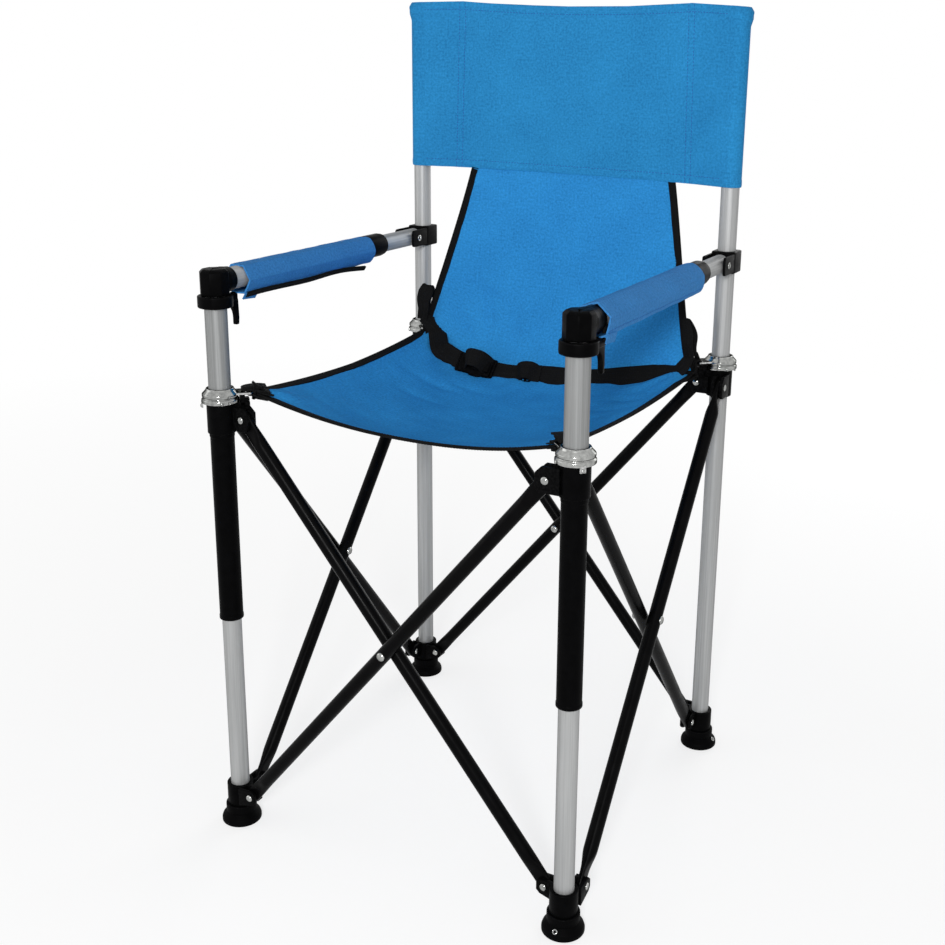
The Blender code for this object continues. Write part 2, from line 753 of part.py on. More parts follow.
def cloth_mesh(sling, rows):
    columns = [cloth_column(i) for i in range(-CLOTH_COLUMNS, CLOTH_COLUMNS + 1)]
    return sling.slab([[(u, v) for u in columns] for v in rows], -SLING_T / 2, SLING_T / 2)


def belt_mesh(sling, columns, width, low, thick):
    """A band along the crease, low above the cloth's middle surface."""
    rows = []
    for column in columns:
        u = cloth_column(column)
        start, end = sling.band(u, 1.0, width)
        rows.append([(u, start + (end - start) * j / BELT_ROWS) for j in range(BELT_ROWS + 1)])
    return sling.slab(rows, low, low + thick)


def make_uprights(chair):
    pad = foot_pad_mesh()
    low = FOOT_PIVOT_Z - EAR_R
    foot_ears = (FOOT_PIVOT_Z, -BRACE_OFFSET, low, FOOT_PIVOT_Z + EAR_R, FOOT_EAR_SLOPE)
    foot = clevis_bracket_mesh(PAD_H + GAP, FOOT_BRACKET_TOP, TUBE_R + GAP, foot_ears)
    low = SLIDER_BOTTOM + EAR_MARGIN
    slider_ears = (SLIDER_PIVOT_Z, BRACE_OFFSET, low, SLIDER_TOP - EAR_MARGIN, 0.0)
    bores = {True: OUTER_BORE_R, False: TUBE_R + GAP}
    sliders = {}
    collars = {}
    for front, bore in bores.items():
        sliders[front] = clevis_bracket_mesh(SLIDER_BOTTOM, SLIDER_TOP, bore, slider_ears)
        collars[front] = collar_mesh(bore)
    tubes = {True: pipe(TUBE_R, TUBE_R - TUBE_WALL, LEG_FOOT_Z, FRONT_LEG_TOP), False: rear_post_mesh()}
    for post in POSTS:
        at = (post.x, post.y, 0)
        leg = post.name + "_leg"
        slider = post.name + "_slider"
        turn = quarter_turn(post.quarter)
        tab_turn = Matrix.Rotation((post.quarter + 0.5) * math.pi / 2, 4, "Z")
        chair.add(post.name + "_post", tubes[post.front], "anodised_tube", leg, at, turn)
        chair.add(post.name + "_foot_pad", pad, "black_plastic", leg, at, turn)
        chair.add(post.name + "_foot_bracket", foot, "black_plastic", leg, at, turn)
        chair.add(post.name + "_slider_bracket", sliders[post.front], "black_plastic", slider, at, turn)
        chair.add(post.name + "_collar", collars[post.front], "zinc", slider, at, tab_turn)


def make_front_tubes(chair):
    sleeve = pipe(SLEEVE_R, OUTER_BORE_R, SLEEVE_BOTTOM, SLEEVE_TOP)
    tube = pipe(OUTER_TUBE_R, OUTER_TUBE_IN_R, SLEEVE_BOTTOM + UPPER_TUBE_TAIL, LATCH_TOP - GAP)
    plug = plug_mesh()
    for post in POSTS[:2]:
        at = (post.x, post.y, 0)
        slider = post.name + "_slider"
        side = post.name.split("_")[1]
        chair.add(post.name + "_sleeve", sleeve, "black_plastic", slider, at)
        chair.add(post.name + "_upper_tube", tube, "anodised_tube", slider, at)
        chair.add(post.name + "_cone_plug", plug, "black_plastic", slider, at)
        latch = latch_mesh(math.copysign(1, post.x))
        chair.add(side + "_latch_ring", latch, "black_plastic", side + "_latch", at)


def make_braces(chair):
    mesh = brace_mesh()
    rivet = headed_pin(BRACE_OFFSET + BRACE_R + GAP, RIVET_HEAD_R, RIVET_HEAD_H)
    for k, side in enumerate(SIDES):
        outward = side_axes(k)[1]
        for name, outer in (("outer", True), ("inner", False)):
            foot, top = brace_ends(k, outer)
            along = (top - foot).normalized()
            turn = Matrix((outward.cross(along), outward, along)).transposed()
            brace = f"{side}_{name}_brace"
            chair.add(brace, mesh, "black_steel", brace, foot, turn)
        ends = [*brace_ends(k, True), *brace_ends(k, False)]
        middle = sum(ends, Vector()) / 4
        lay = outward.to_track_quat("Z", "Y").to_matrix()
        chair.add(side + "_brace_rivet", rivet, "zinc", side + "_outer_brace", middle, lay)


def make_armrests(chair):
    elbow = elbow_mesh()
    outer = along_y(pipe(OUTER_TUBE_R, OUTER_TUBE_IN_R, -HALF + SOCKET_DEPTH + GAP, ARM_OUTER_END_Y))
    inner = arm_inner_mesh()
    bush = bush_mesh()
    cover = cover_mesh()
    bracket = arm_bracket_mesh()
    ear_reach = TUBE_R + ARM_EAR_SPACE + ARM_EAR_T + GAP
    rivet = along_x(headed_pin(ear_reach, ARM_HEAD_R, ARM_HEAD_H))
    for side, x in (("left", -HALF), ("right", HALF)):
        body = side + "_armrest"
        axis = (x, 0, ARM_AXIS_Z)
        chair.add(side + "_elbow", elbow, "black_plastic", body, (x, -HALF, 0))
        chair.add(side + "_arm_outer_tube", outer, "anodised_tube", body, axis)
        chair.add(side + "_arm_inner_tube", inner, "anodised_tube", body, axis)
        chair.add(side + "_arm_bush", bush, "black_plastic", body, axis)
        chair.add(side + "_arm_cover", cover, "blue_fabric", body, axis)
        holder = side + "_arm_bracket"
        chair.add(holder, bracket, "black_plastic", holder, (x, HALF, ARM_AXIS_Z))
        chair.add(side + "_arm_rivet", rivet, "zinc", holder, (x, ARM_PIVOT_Y, ARM_AXIS_Z))


def make_soft_goods(chair):
    sling = Sling()
    chair.add("backrest_panel", backrest_mesh(), "blue_fabric", "rear_left_leg")
    back = [1 - (1 - i / BACK_STEPS) ** 2 for i in range(BACK_STEPS + 1)]
    rear = [1 + 0.5 * (i / REAR_STEPS) ** 1.6 for i in range(REAR_STEPS + 1)]
    front = [1.5 + 0.5 * i / FRONT_STEPS for i in range(FRONT_STEPS + 1)]
    chair.add("seat_back_cloth", cloth_mesh(sling, back), "blue_fabric", "rear_left_leg")
    chair.add("seat_rear_cloth", cloth_mesh(sling, rear), "blue_fabric", "seat_rear")
    chair.add("seat_front_cloth", cloth_mesh(sling, front), "blue_fabric", "seat_front")
    low = SLING_T / 2 + BELT_LIFT
    chair.add("lap_belt", belt_mesh(sling, BELT_COLUMNS, BELT_W, low, BELT_T), "black_webbing", "seat_rear")
    low += BELT_T + GAP
    buckle = belt_mesh(sling, BUCKLE_COLUMNS, BUCKLE_W, low, BUCKLE_T)
    chair.add("belt_buckle", buckle, "black_plastic", "seat_rear")


def main():
    clear_scene()
    chair = Chair()
    make_bodies(chair)
    make_uprights(chair)
    make_front_tubes(chair)
    make_braces(chair)
    make_armrests(chair)
    make_soft_goods(chair)


main()
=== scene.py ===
"""A folding high chair: tubes, clevis hubs, crossed braces, armrests and a hanging fabric seat.

The chair faces -Y and stands on z = 0, with the middle of its feet at the origin. Sizes are in metres.
"""

from __future__ import annotations

import logging
from abc import ABC, abstractmethod
from dataclasses import dataclass, field
from enum import Enum
from math import acos, asin, copysign, cos, hypot, pi, radians, sin, sqrt, tan
from typing import Sequence

import bmesh
import bpy
import numpy as np
from bpy.types import Material, Mesh, Node, NodeSocket, NodeTree, Object
from mathutils import Matrix, Vector


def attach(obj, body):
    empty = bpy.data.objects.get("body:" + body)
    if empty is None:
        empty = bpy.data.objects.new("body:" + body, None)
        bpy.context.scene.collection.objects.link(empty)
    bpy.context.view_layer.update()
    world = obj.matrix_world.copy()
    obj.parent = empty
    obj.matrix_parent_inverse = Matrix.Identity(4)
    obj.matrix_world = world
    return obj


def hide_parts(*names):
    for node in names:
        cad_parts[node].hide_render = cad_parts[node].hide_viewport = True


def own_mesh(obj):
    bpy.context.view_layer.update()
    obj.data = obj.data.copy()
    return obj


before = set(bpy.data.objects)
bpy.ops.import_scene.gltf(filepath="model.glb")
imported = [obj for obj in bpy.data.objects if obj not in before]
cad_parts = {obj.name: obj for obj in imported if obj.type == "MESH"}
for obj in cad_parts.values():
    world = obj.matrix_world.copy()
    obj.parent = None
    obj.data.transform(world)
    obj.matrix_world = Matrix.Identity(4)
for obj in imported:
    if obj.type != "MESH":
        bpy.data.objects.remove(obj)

LOG = logging.getLogger("high_chair")
IMAGE_SIZE = 945
SENSOR_MM = 36.0
CLOTH_UV = "cloth"
WEAR = "edge_wear"
WEAR_ANGLE = 0.25
FACING = "facing"
SOFT_SHARP = 50.0
CANVAS_SHARP = 60.0
MM = 0.001
ALONG_Y = Matrix.Rotation(-pi / 2, 4, "X")
QUARTER = Matrix.Rotation(pi / 2, 4, "Z")

Array = np.ndarray
Triple = tuple[float, float, float]
Sockets = dict[str, NodeSocket]
Heads = list[tuple[Vector, Vector]]


@dataclass(frozen=True)
class FrameSizes:
    """Sizes that several sub-assemblies share, as they stand in the solid model."""

    half: float = 0.215
    gap: float = 0.0003
    tube_r: float = 0.011
    tube_wall: float = 0.0012
    outer_tube_r: float = 0.01225
    outer_bore_r: float = 0.01255
    pivot_reach: float = 0.025
    foot_pivot_z: float = 0.042
    slider_pivot_z: float = 0.505
    brace_r: float = 0.008
    brace_offset: float = 0.0084
    hub_r: float = 0.0155
    collar_z: float = 0.5238
    tab_z: float = 0.5323
    tab_t: float = 0.0022
    arm_axis_z: float = 0.657
    arm_pivot_y: float = 0.182
    latch_top: float = 0.6427
    panel_bottom: float = 0.7485
    panel_top: float = 0.958
    folded_pitch: float = 0.100

    @property
    def sliding_bore(self) -> float:
        """The bore of what runs on a plain tube."""
        return self.tube_r + self.gap

    @property
    def panel_height(self) -> float:
        """The backrest's height."""
        return self.panel_top - self.panel_bottom

    def kept(self, half: float) -> float:
        """The share of a width that is left when the posts have come together, from half that width."""
        return (2 * half - (2 * self.half - self.folded_pitch)) / (2 * half)


SIZES = FrameSizes()


class Slot(Enum):
    """Material slots that the finishes belong to."""

    TUBE = "anodised_tube"
    PLASTIC = "black_plastic"
    STEEL = "black_steel"
    ZINC = "zinc"
    FABRIC = "blue_fabric"
    WEBBING = "black_webbing"


class Ends(Enum):
    """How a loft is closed."""

    CAPPED = "capped"
    RING = "joined end to end"


class RivetHead(Enum):
    """Kinds of rivet head."""

    DOME = "dome"
    EYELET = "eyelet"


@dataclass(frozen=True)
class Rivet:
    """A rivet head: its kind, its radius and how far it stands up."""

    kind: RivetHead
    radius: float
    height: float


class Spot(Enum):
    """A named place on the chair."""

    @property
    def label(self) -> str:
        """The place's name in the model."""
        return self.name.lower()


class Corner(Spot):
    """The four uprights, each with its side in X and Y and the quarter turns that its brackets take."""

    FRONT_LEFT = (-1, -1, 0)
    FRONT_RIGHT = (1, -1, 1)
    REAR_RIGHT = (1, 1, 2)
    REAR_LEFT = (-1, 1, 3)

    @property
    def axis(self) -> Vector:
        """The foot of the upright's axis."""
        return Vector((self.value[0] * SIZES.half, self.value[1] * SIZES.half, 0.0))

    @property
    def is_front(self) -> bool:
        """True for the two front uprights."""
        return self.value[1] < 0

    def placing(self, extra: float = 0.0) -> Matrix:
        """The matrix that takes a bracket from the origin to this corner, with some more quarter turns."""
        return Matrix.Translation(self.axis) @ Matrix.Rotation((self.value[2] + extra) * pi / 2, 4, "Z")


class Side(Spot):
    """The two armrests."""

    LEFT = -1
    RIGHT = 1

    @property
    def x(self) -> float:
        """Where this side's uprights stand in X."""
        return self.value * SIZES.half


class Flank(Spot):
    """The four sides that have crossed braces, in the order of the corners that they start from."""

    FRONT = 0
    RIGHT = 1
    REAR = 2
    LEFT = 3


@dataclass
class Shell:
    """Points and faces of a closed skin, before it becomes a mesh."""

    points: Array
    faces: list[tuple[int, ...]]
    uv: Array | None = None

    def moved(self, matrix: Matrix) -> Shell:
        """The skin with a matrix applied to its points."""
        turn = np.array(matrix)
        return Shell(self.points @ turn[:3, :3].T + turn[:3, 3], self.faces, self.uv)

    def at(self, x: float, y: float, z: float) -> Shell:
        """The skin moved along X, Y and Z."""
        return self.moved(Matrix.Translation((x, y, z)))

    def __add__(self, other: Shell) -> Shell:
        """Joins two skins.

        Args:
            other: The second skin.

        Returns:
            Both skins as one, with cloth coordinates where both have them.
        """
        faces = self.faces + [tuple(i + len(self.points) for i in face) for face in other.faces]
        uv = None if self.uv is None or other.uv is None else np.vstack((self.uv, other.uv))
        return Shell(np.vstack((self.points, other.points)), faces, uv)


def clamp(share: Array | float) -> Array:
    """Shares held between 0 and 1."""
    return np.clip(share, 0, 1)


def bell(offset: Array | float, width: float, power: int = 2) -> Array:
    """A bump that falls from 1 at no offset to nothing past a width."""
    return np.exp(-((offset / width) ** power))


def circle(turns: Array) -> Array:
    """Points of a circle of radius 1 at some angles."""
    return np.stack((np.cos(turns), np.sin(turns)), axis=1)


def level(points: Array, z: float) -> Array:
    """Points in the plane, put at a height."""
    return np.column_stack((points, np.full(len(points), z)))


def unit(vectors: Array) -> Array:
    """Vectors scaled to a length of one."""
    return vectors / np.maximum(np.linalg.norm(vectors, axis=-1, keepdims=True), 1e-9)


def square_to(vectors: Array, tangent: Array) -> Array:
    """The unit part of some vectors that is square to a path's direction."""
    return unit(vectors - tangent * np.sum(vectors * tangent, axis=1)[:, None])


def tangents(path: Array) -> Array:
    """A path's direction at each of its points."""
    return unit(np.gradient(path, axis=0))


def travelled(path: Array) -> Array:
    """The distance from a path's start to each of its points."""
    return np.concatenate(([0.0], np.cumsum(np.linalg.norm(np.diff(path, axis=0), axis=1))))


def oblong(x0: float, y0: float, x1: float, y1: float) -> list[tuple[float, float]]:
    """Corners of a rectangle."""
    return [(x0, y0), (x1, y0), (x1, y1), (x0, y1)]


def loft(rings: Sequence[Array], ends: Ends = Ends.CAPPED, flat: Sequence[Array] | None = None) -> Shell:
    """A skin through rings of as many points each.

    Args:
        rings: Arrays of points, one for each ring.
        ends: Whether the first and last rings are capped or joined.
        flat: Cloth coordinates of each ring, where it is cloth.

    Returns:
        The closed skin.
    """
    stack = np.asarray(rings, float)
    rows, count = stack.shape[:2]
    faces: list[tuple[int, ...]] = []
    for row in range(rows if ends is Ends.RING else rows - 1):
        low, high = row * count, (row + 1) % rows * count
        faces += [(low + i, low + j, high + j, high + i) for i, j in enumerate((*range(1, count), 0))]
    if ends is Ends.CAPPED:
        faces += [tuple(range(count))[::-1], tuple(range((rows - 1) * count, rows * count))]
    return Shell(stack.reshape(-1, 3), faces, None if flat is None else np.vstack(flat))


def rounded(points: Sequence[Sequence[float]], radius: float, closed: bool = True, steps: int = 4) -> Array:
    """A line in the plane with its corners turned into arcs.

    Args:
        points: Corners of the line.
        radius: Radius of the arcs, cut back where a side is too short for it.
        closed: Whether the last corner joins the first.
        steps: Segments in each arc.

    Returns:
        The points of the rounded line.
    """
    straight, longest = 0.08, 0.45
    corners = np.asarray(points, float)
    line = []
    for i, corner in enumerate(corners):
        back = corners[i - 1] - corner
        ahead = corners[(i + 1) % len(corners)] - corner
        back_l, ahead_l = np.linalg.norm(back), np.linalg.norm(ahead)
        back, ahead = back / back_l, ahead / ahead_l
        angle = acos(float(np.clip(back @ ahead, -1, 1)))
        if angle > pi - straight or (not closed and i in (0, len(corners) - 1)):
            line.append(corner)
            continue
        reach = min(radius / tan(angle / 2), longest * back_l, longest * ahead_l)
        for share in np.linspace(0, 1, steps + 1):
            start = corner + back * reach * (1 - share)
            end = corner + ahead * reach * share
            line.append(start * (1 - share) + end * share)
    return np.array(line)


def turned(profile: Array, sides: int = 64, ends: Ends = Ends.CAPPED) -> Shell:
    """A skin of (radius, height) points turned about Z, with capped or joined ends."""
    around = circle(2 * np.pi * np.arange(sides) / sides)
    return loft([level(around * radius, z) for radius, z in profile], ends)


def ring(corners: Sequence[Sequence[float]], radius: float) -> Shell:
    """A hollow turned ring whose (radius, height) section has rounded corners."""
    return turned(rounded(corners, radius), ends=Ends.RING)


def pipe(radius: float, bore: float, low: float, high: float, edge: float = 0.0003) -> Shell:
    """A plain tube along Z with softened ends."""
    return ring(oblong(bore, low, radius, high), edge)


def inset(outline: Array, distance: float) -> Array:
    """An outline drawn inwards by a distance.

    Args:
        outline: Points of a closed line in the plane, either way round.
        distance: How far each side moves in.

    Returns:
        The moved points.
    """
    sharpest = 0.3
    ahead = np.roll(outline, -1, axis=0) - outline
    ahead /= np.linalg.norm(ahead, axis=1)[:, None]
    left = np.stack((-ahead[:, 1], ahead[:, 0]), axis=1)
    before = np.roll(left, 1, axis=0)
    x, y = outline.T
    turn = np.sign(np.sum(x * np.roll(y, -1) - y * np.roll(x, -1)))
    mitre = (left + before) / np.maximum(1 + np.sum(left * before, axis=1), sharpest)[:, None]
    return outline + turn * distance * mitre


def stacked(outline: Array, rows: Sequence[tuple[float, float]]) -> Shell:
    """A skin of one outline in X and Y at several heights, drawn in by an inset at each."""
    return loft([level(inset(outline, back), z) for z, back in rows])


def prism(outline: Array, low: float, high: float, bevel: float = 0.0006) -> Shell:
    """An outline in X and Y drawn along Z, with rounded edges at both ends."""
    rise = [(bevel * (1 - cos(t)), bevel * (1 - sin(t))) for t in np.linspace(0, pi / 2, 4)]
    return stacked(outline, [(low + a, b) for a, b in rise] + [(high - a, b) for a, b in rise[::-1]])


def plate(outline: Array, low: float, high: float, bevel: float = 0.0006) -> Shell:
    """An outline in X and Z drawn along Y, with rounded edges at both ends."""
    made = prism(outline, low, high, bevel)
    return Shell(made.points[:, [0, 2, 1]], made.faces)


def block(low: Triple, high: Triple, corner: float = 0.0008, bevel: float = 0.0006) -> Shell:
    """A box with rounded edges."""
    return prism(rounded(oblong(*low[:2], *high[:2]), corner), low[2], high[2], bevel)


def quilt(top: Array, bottom: Array, uv: Array) -> Shell:
    """A closed cloth slab between two grids of points.

    Args:
        top: Points of the upper face, as rows by columns.
        bottom: Points of the lower face, in the same order.
        uv: Flat place of each grid point, in metres.

    Returns:
        The slab with its cloth coordinates.
    """
    count = top.shape[0] * top.shape[1]
    grid = np.arange(count).reshape(top.shape[:2])
    quads = np.stack((grid[:-1, :-1], grid[:-1, 1:], grid[1:, 1:], grid[1:, :-1]), axis=-1).reshape(-1, 4)
    faces = [tuple(quad) for quad in quads.tolist() + (quads + count)[:, ::-1].tolist()]
    rim = np.concatenate((grid[0, :-1], grid[:-1, -1], grid[-1, :0:-1], grid[:0:-1, 0])).tolist()
    faces += [(i, i + count, j + count, j) for i, j in zip(rim, rim[1:] + rim[:1])]
    points = np.vstack((top.reshape(-1, 3), bottom.reshape(-1, 3)))
    return Shell(points, faces, np.vstack((uv.reshape(-1, 2),) * 2))


def strap(path: Array, across: Array, width: Array | float, thick: float) -> Shell:
    """A flat strap with soft edges along a path.

    Args:
        path: Points of the strap's middle line.
        across: The direction of the strap's width at each point, or at all of them.
        width: The strap's width, one value or one for each point.
        thick: The strap's thickness.

    Returns:
        The capped strap with cloth coordinates along and across it.
    """
    soft = 0.35
    tangent = tangents(path)
    side = square_to(np.broadcast_to(across, path.shape), tangent)
    normal = np.cross(tangent, side)
    half = np.broadcast_to(np.asarray(width, float) / 2, len(path))
    w, t = rounded(oblong(-1, -1, 1, 1), soft, steps=3).T
    rings, flat = [], []
    for i, run in enumerate(travelled(path)):
        edge = np.sign(w) * (half[i] - thick * soft * (1 - np.abs(w)))
        rings.append(path[i] + edge[:, None] * side[i] + (t * thick / 2)[:, None] * normal[i])
        flat.append(np.column_stack((np.full(len(w), run), edge)))
    return loft(rings, flat=flat)


def smooth_line(points: Sequence[Sequence[float]], count: int) -> Array:
    """A soft curve through points.

    Args:
        points: Points that the curve passes through.
        count: How many points the curve gets.

    Returns:
        The curve's points.
    """
    knots = np.asarray(points, float)
    padded = np.vstack((2 * knots[0] - knots[1], knots, 2 * knots[-1] - knots[-2]))
    spots = []
    for at in np.linspace(0, len(knots) - 1 - 1e-9, count):
        i = int(at)
        t = at - i
        p0, p1, p2, p3 = padded[i : i + 4]
        spots.append(0.5 * (2 * p1 + (p2 - p0) * t + (2 * p0 - 5 * p1 + 4 * p2 - p3) * t**2
                            + (3 * p1 - p0 - 3 * p2 + p3) * t**3))
    return np.array(spots)


def ripples(a: Array, b: Array, wavelength: float, seed: int) -> Array:
    """Slow random waves over a flat sheet.

    Args:
        a: Place along the sheet's width.
        b: Place along the sheet's length.
        wavelength: Typical distance between two waves.
        seed: Fixed seed of the waves.

    Returns:
        Heights of about -1 to 1.
    """
    count, tallest = 9, 1.4
    rng = np.random.default_rng(seed)
    total = np.zeros_like(a, dtype=float)
    for _ in range(count):
        turn, phase = rng.uniform(0, 2 * np.pi, 2)
        pitch = wavelength * rng.uniform(0.6, 1.6)
        total += np.sin(2 * np.pi * (a * cos(turn) + b * sin(turn)) / pitch + phase)
    return total / sqrt(count) / tallest


class Wiring:
    """Adds nodes to one tree and joins their sockets."""

    def __init__(self, tree: NodeTree) -> None:
        """Keeps the tree that the nodes go in."""
        self.tree = tree

    def feed(self, socket: NodeSocket, value: object) -> None:
        """Links a socket into another, or sets its plain value.

        Args:
            socket: The input to feed.
            value: A socket or a plain value.
        """
        if isinstance(value, NodeSocket):
            self.tree.links.new(value, socket)
        else:
            socket.default_value = value

    def give(self, node: Node, **inputs: object) -> Node:
        """Feeds a node's inputs by name.

        Args:
            node: The node.
            **inputs: Values or sockets by input name, with _ for a space.

        Returns:
            The same node.
        """
        for key, value in inputs.items():
            self.feed(node.inputs[key.replace("_", " ")], value)
        return node

    def node(self, kind: str, settings: dict[str, object] | None = None, **inputs: object) -> Node:
        """Adds a node.

        Args:
            kind: Blender's name of the node's type.
            settings: Properties of the node.
            **inputs: Values or sockets by input name, with _ for a space.

        Returns:
            The new node.
        """
        made = self.tree.nodes.new(kind)
        for key, value in (settings or {}).items():
            setattr(made, key, value)
        return self.give(made, **inputs)

    def run(self, kind: str, values: Sequence[object], settings: dict[str, object] | None = None,
            inputs: Sequence[int] | None = None, output: int = 0) -> NodeSocket:
        """Adds a node that is fed by the numbers of its inputs.

        Args:
            kind: Blender's name of the node's type.
            values: Values or sockets.
            settings: Properties of the node.
            inputs: Numbers of the inputs that the values go to, or none for the first ones.
            output: Number of the wanted output.

        Returns:
            The node's output.
        """
        made = self.node(kind, settings)
        for i, value in zip(inputs or range(len(values)), values):
            self.feed(made.inputs[i], value)
        return made.outputs[output]

    def math(self, operation: str, *values: object) -> NodeSocket:
        """The result of a Math node."""
        return self.run("ShaderNodeMath", values, {"operation": operation})

    def blend(self, first: object, share: float, second: object, rest: float) -> NodeSocket:
        """The sum of two values, each times its share."""
        return self.math("MULTIPLY_ADD", first, share, self.math("MULTIPLY", second, rest))

    def spread(self, value: object, low: float, high: float, start: float = 0.0,
               end: float = 1.0) -> NodeSocket:
        """A value spread from one range to another, held at its ends."""
        return self.run("ShaderNodeMapRange", (value, low, high, start, end))

    def mix(self, share: object, first: object, second: object) -> NodeSocket:
        """Two colours mixed by a share."""
        return self.run("ShaderNodeMix", (share, first, second), {"data_type": "RGBA"}, (0, 6, 7), 2)

    def noise(self, vector: object, scale: object, detail: float = 2.0) -> NodeSocket:
        """A noise value at a scale."""
        return self.node("ShaderNodeTexNoise", Vector=vector, Scale=scale, Detail=detail).outputs[0]

    def scaled(self, vector: object, factors: Triple) -> NodeSocket:
        """A vector stretched along its axes."""
        return self.run("ShaderNodeMapping", (vector, factors), inputs=(0, 3))

    def place(self) -> NodeSocket:
        """Object coordinates."""
        return self.node("ShaderNodeTexCoord").outputs["Object"]

    def cloth_place(self) -> NodeSocket:
        """A piece's own cloth coordinates, in metres."""
        return self.node("ShaderNodeUVMap", {"uv_map": CLOTH_UV}).outputs[0]


class NodeGroups:
    """Node groups of one kind, each built once."""

    kind = "ShaderNodeTree"
    result = "Float"

    def __init__(self) -> None:
        """Starts with no groups."""
        self.made: dict[tuple, NodeTree] = {}

    def group(self, *wanted: str | Enum) -> NodeTree:
        """A group, built the first time that it is asked for.

        Args:
            *wanted: Name of the method here that builds it, and what that method is told.

        Returns:
            The group.
        """
        if wanted not in self.made:
            self.made[wanted] = getattr(self, wanted[0])(*wanted[1:])
        return self.made[wanted]

    def start(self, name: str, inputs: dict[str, str], *outputs: str) -> tuple[Wiring, Sockets, Node]:
        """A new group with its named inputs and outputs.

        Args:
            name: The group's name.
            inputs: Kinds of its inputs by name.
            *outputs: Names of its outputs.

        Returns:
            The group's wiring, its input sockets by name, and its output node.
        """
        tree = bpy.data.node_groups.new(name, self.kind)
        for way, sockets in (("INPUT", inputs), ("OUTPUT", dict.fromkeys(outputs, self.result))):
            for label, kind in sockets.items():
                tree.interface.new_socket(name=label, in_out=way, socket_type="NodeSocket" + kind)
        wiring = Wiring(tree)
        source = wiring.node("NodeGroupInput")
        return wiring, {s.name: s for s in source.outputs if s.name}, wiring.node("NodeGroupOutput")


class ShaderEffects(NodeGroups):
    """Node groups that several finishes share."""

    def use(self, wiring: Wiring, name: str, **inputs: object) -> Node:
        """Places a group in a material, with its inputs by name."""
        return wiring.node("ShaderNodeGroup", {"node_tree": self.group(name)}, **inputs)

    def weave(self) -> NodeTree:
        """Plain weave: the height of its yarns, and a tone that differs from yarn to yarn.

        Returns:
            The group.
        """
        inputs = {"Place": "Vector", "Yarns per metre": "Float"}
        wiring, given, sink = self.start("weave", inputs, "Height", "Tone")
        scaled = wiring.run("ShaderNodeVectorMath", (given["Place"], given["Yarns per metre"]),
                            {"operation": "SCALE"}, (0, 3))
        yarn = wiring.node("ShaderNodeSeparateXYZ", Vector=scaled)
        across, along = (wiring.math("SINE", wiring.math("MULTIPLY", yarn.outputs[i], pi)) for i in (0, 1))
        crest = wiring.math("MULTIPLY", wiring.math("ABSOLUTE", across), wiring.math("ABSOLUTE", along))
        over = wiring.math("GREATER_THAN", wiring.math("MULTIPLY", across, along), 0.0)
        ways = (1, 0.02, 1), (0.02, 1, 1)
        warp, weft = (wiring.noise(wiring.scaled(scaled, way), 1.0, 0.0) for way in ways)
        pick = wiring.run("ShaderNodeMix", (over, weft, warp), {"data_type": "FLOAT"}, (0, 2, 3))
        tone = wiring.spread(wiring.math("MULTIPLY_ADD", over, 0.25, pick), 0.25, 0.95)
        wiring.give(sink, Height=wiring.math("SQRT", crest), Tone=tone)
        return wiring.tree

    def mottle(self) -> NodeTree:
        """Uneven tone at two scales.

        Returns:
            The group.
        """
        inputs = {"Place": "Vector", "Fine": "Float", "Broad": "Float"}
        wiring, given, sink = self.start("mottle", inputs, "Tone")
        fine = wiring.noise(given["Place"], given["Fine"], 3.0)
        broad = wiring.noise(given["Place"], given["Broad"])
        wiring.give(sink, Tone=wiring.spread(wiring.blend(fine, 0.75, broad, 0.25), 0.32, 0.68))
        return wiring.tree

    def grain(self) -> NodeTree:
        """Fine skin of a moulded or sprayed surface, with broad dull patches.

        Returns:
            The group.
        """
        inputs = {"Place": "Vector", "Grains per metre": "Float"}
        wiring, given, sink = self.start("grain", inputs, "Height", "Patch")
        skin = wiring.noise(given["Place"], given["Grains per metre"])
        patch = wiring.noise(given["Place"], wiring.math("MULTIPLY", given["Grains per metre"], 0.03), 4.0)
        wiring.give(sink, Height=skin, Patch=wiring.spread(patch, 0.35, 0.65))
        return wiring.tree

    def drawn(self) -> NodeTree:
        """Fine lines along a drawn tube, with soft cloudy changes.

        Returns:
            The group.
        """
        wiring, given, sink = self.start("drawn", {"Place": "Vector"}, "Lines", "Cloud")
        lines, cloud = wiring.noise(given["Place"], 620.0, 3.0), wiring.noise(given["Place"], 55.0, 4.0)
        wiring.give(sink, Lines=wiring.spread(lines, 0.3, 0.7), Cloud=wiring.spread(cloud, 0.35, 0.65))
        return wiring.tree

    def worn(self) -> NodeTree:
        """Where handling has rubbed the edges: the mesh's edge mask broken up by noise.

        Returns:
            The group.
        """
        wiring, given, sink = self.start("worn", {"Place": "Vector", "Edge": "Float"}, "Rub")
        patch = wiring.spread(wiring.noise(given["Place"], 420.0, 4.0), 0.42, 0.62)
        wiring.give(sink, Rub=wiring.math("MULTIPLY", given["Edge"], patch))
        return wiring.tree


EFFECTS = ShaderEffects()


def rgba(colour: Triple, share: float = 1.0) -> tuple[float, ...]:
    """A colour, or a share of it, with full cover."""
    return (*(share * c for c in colour), 1.0)


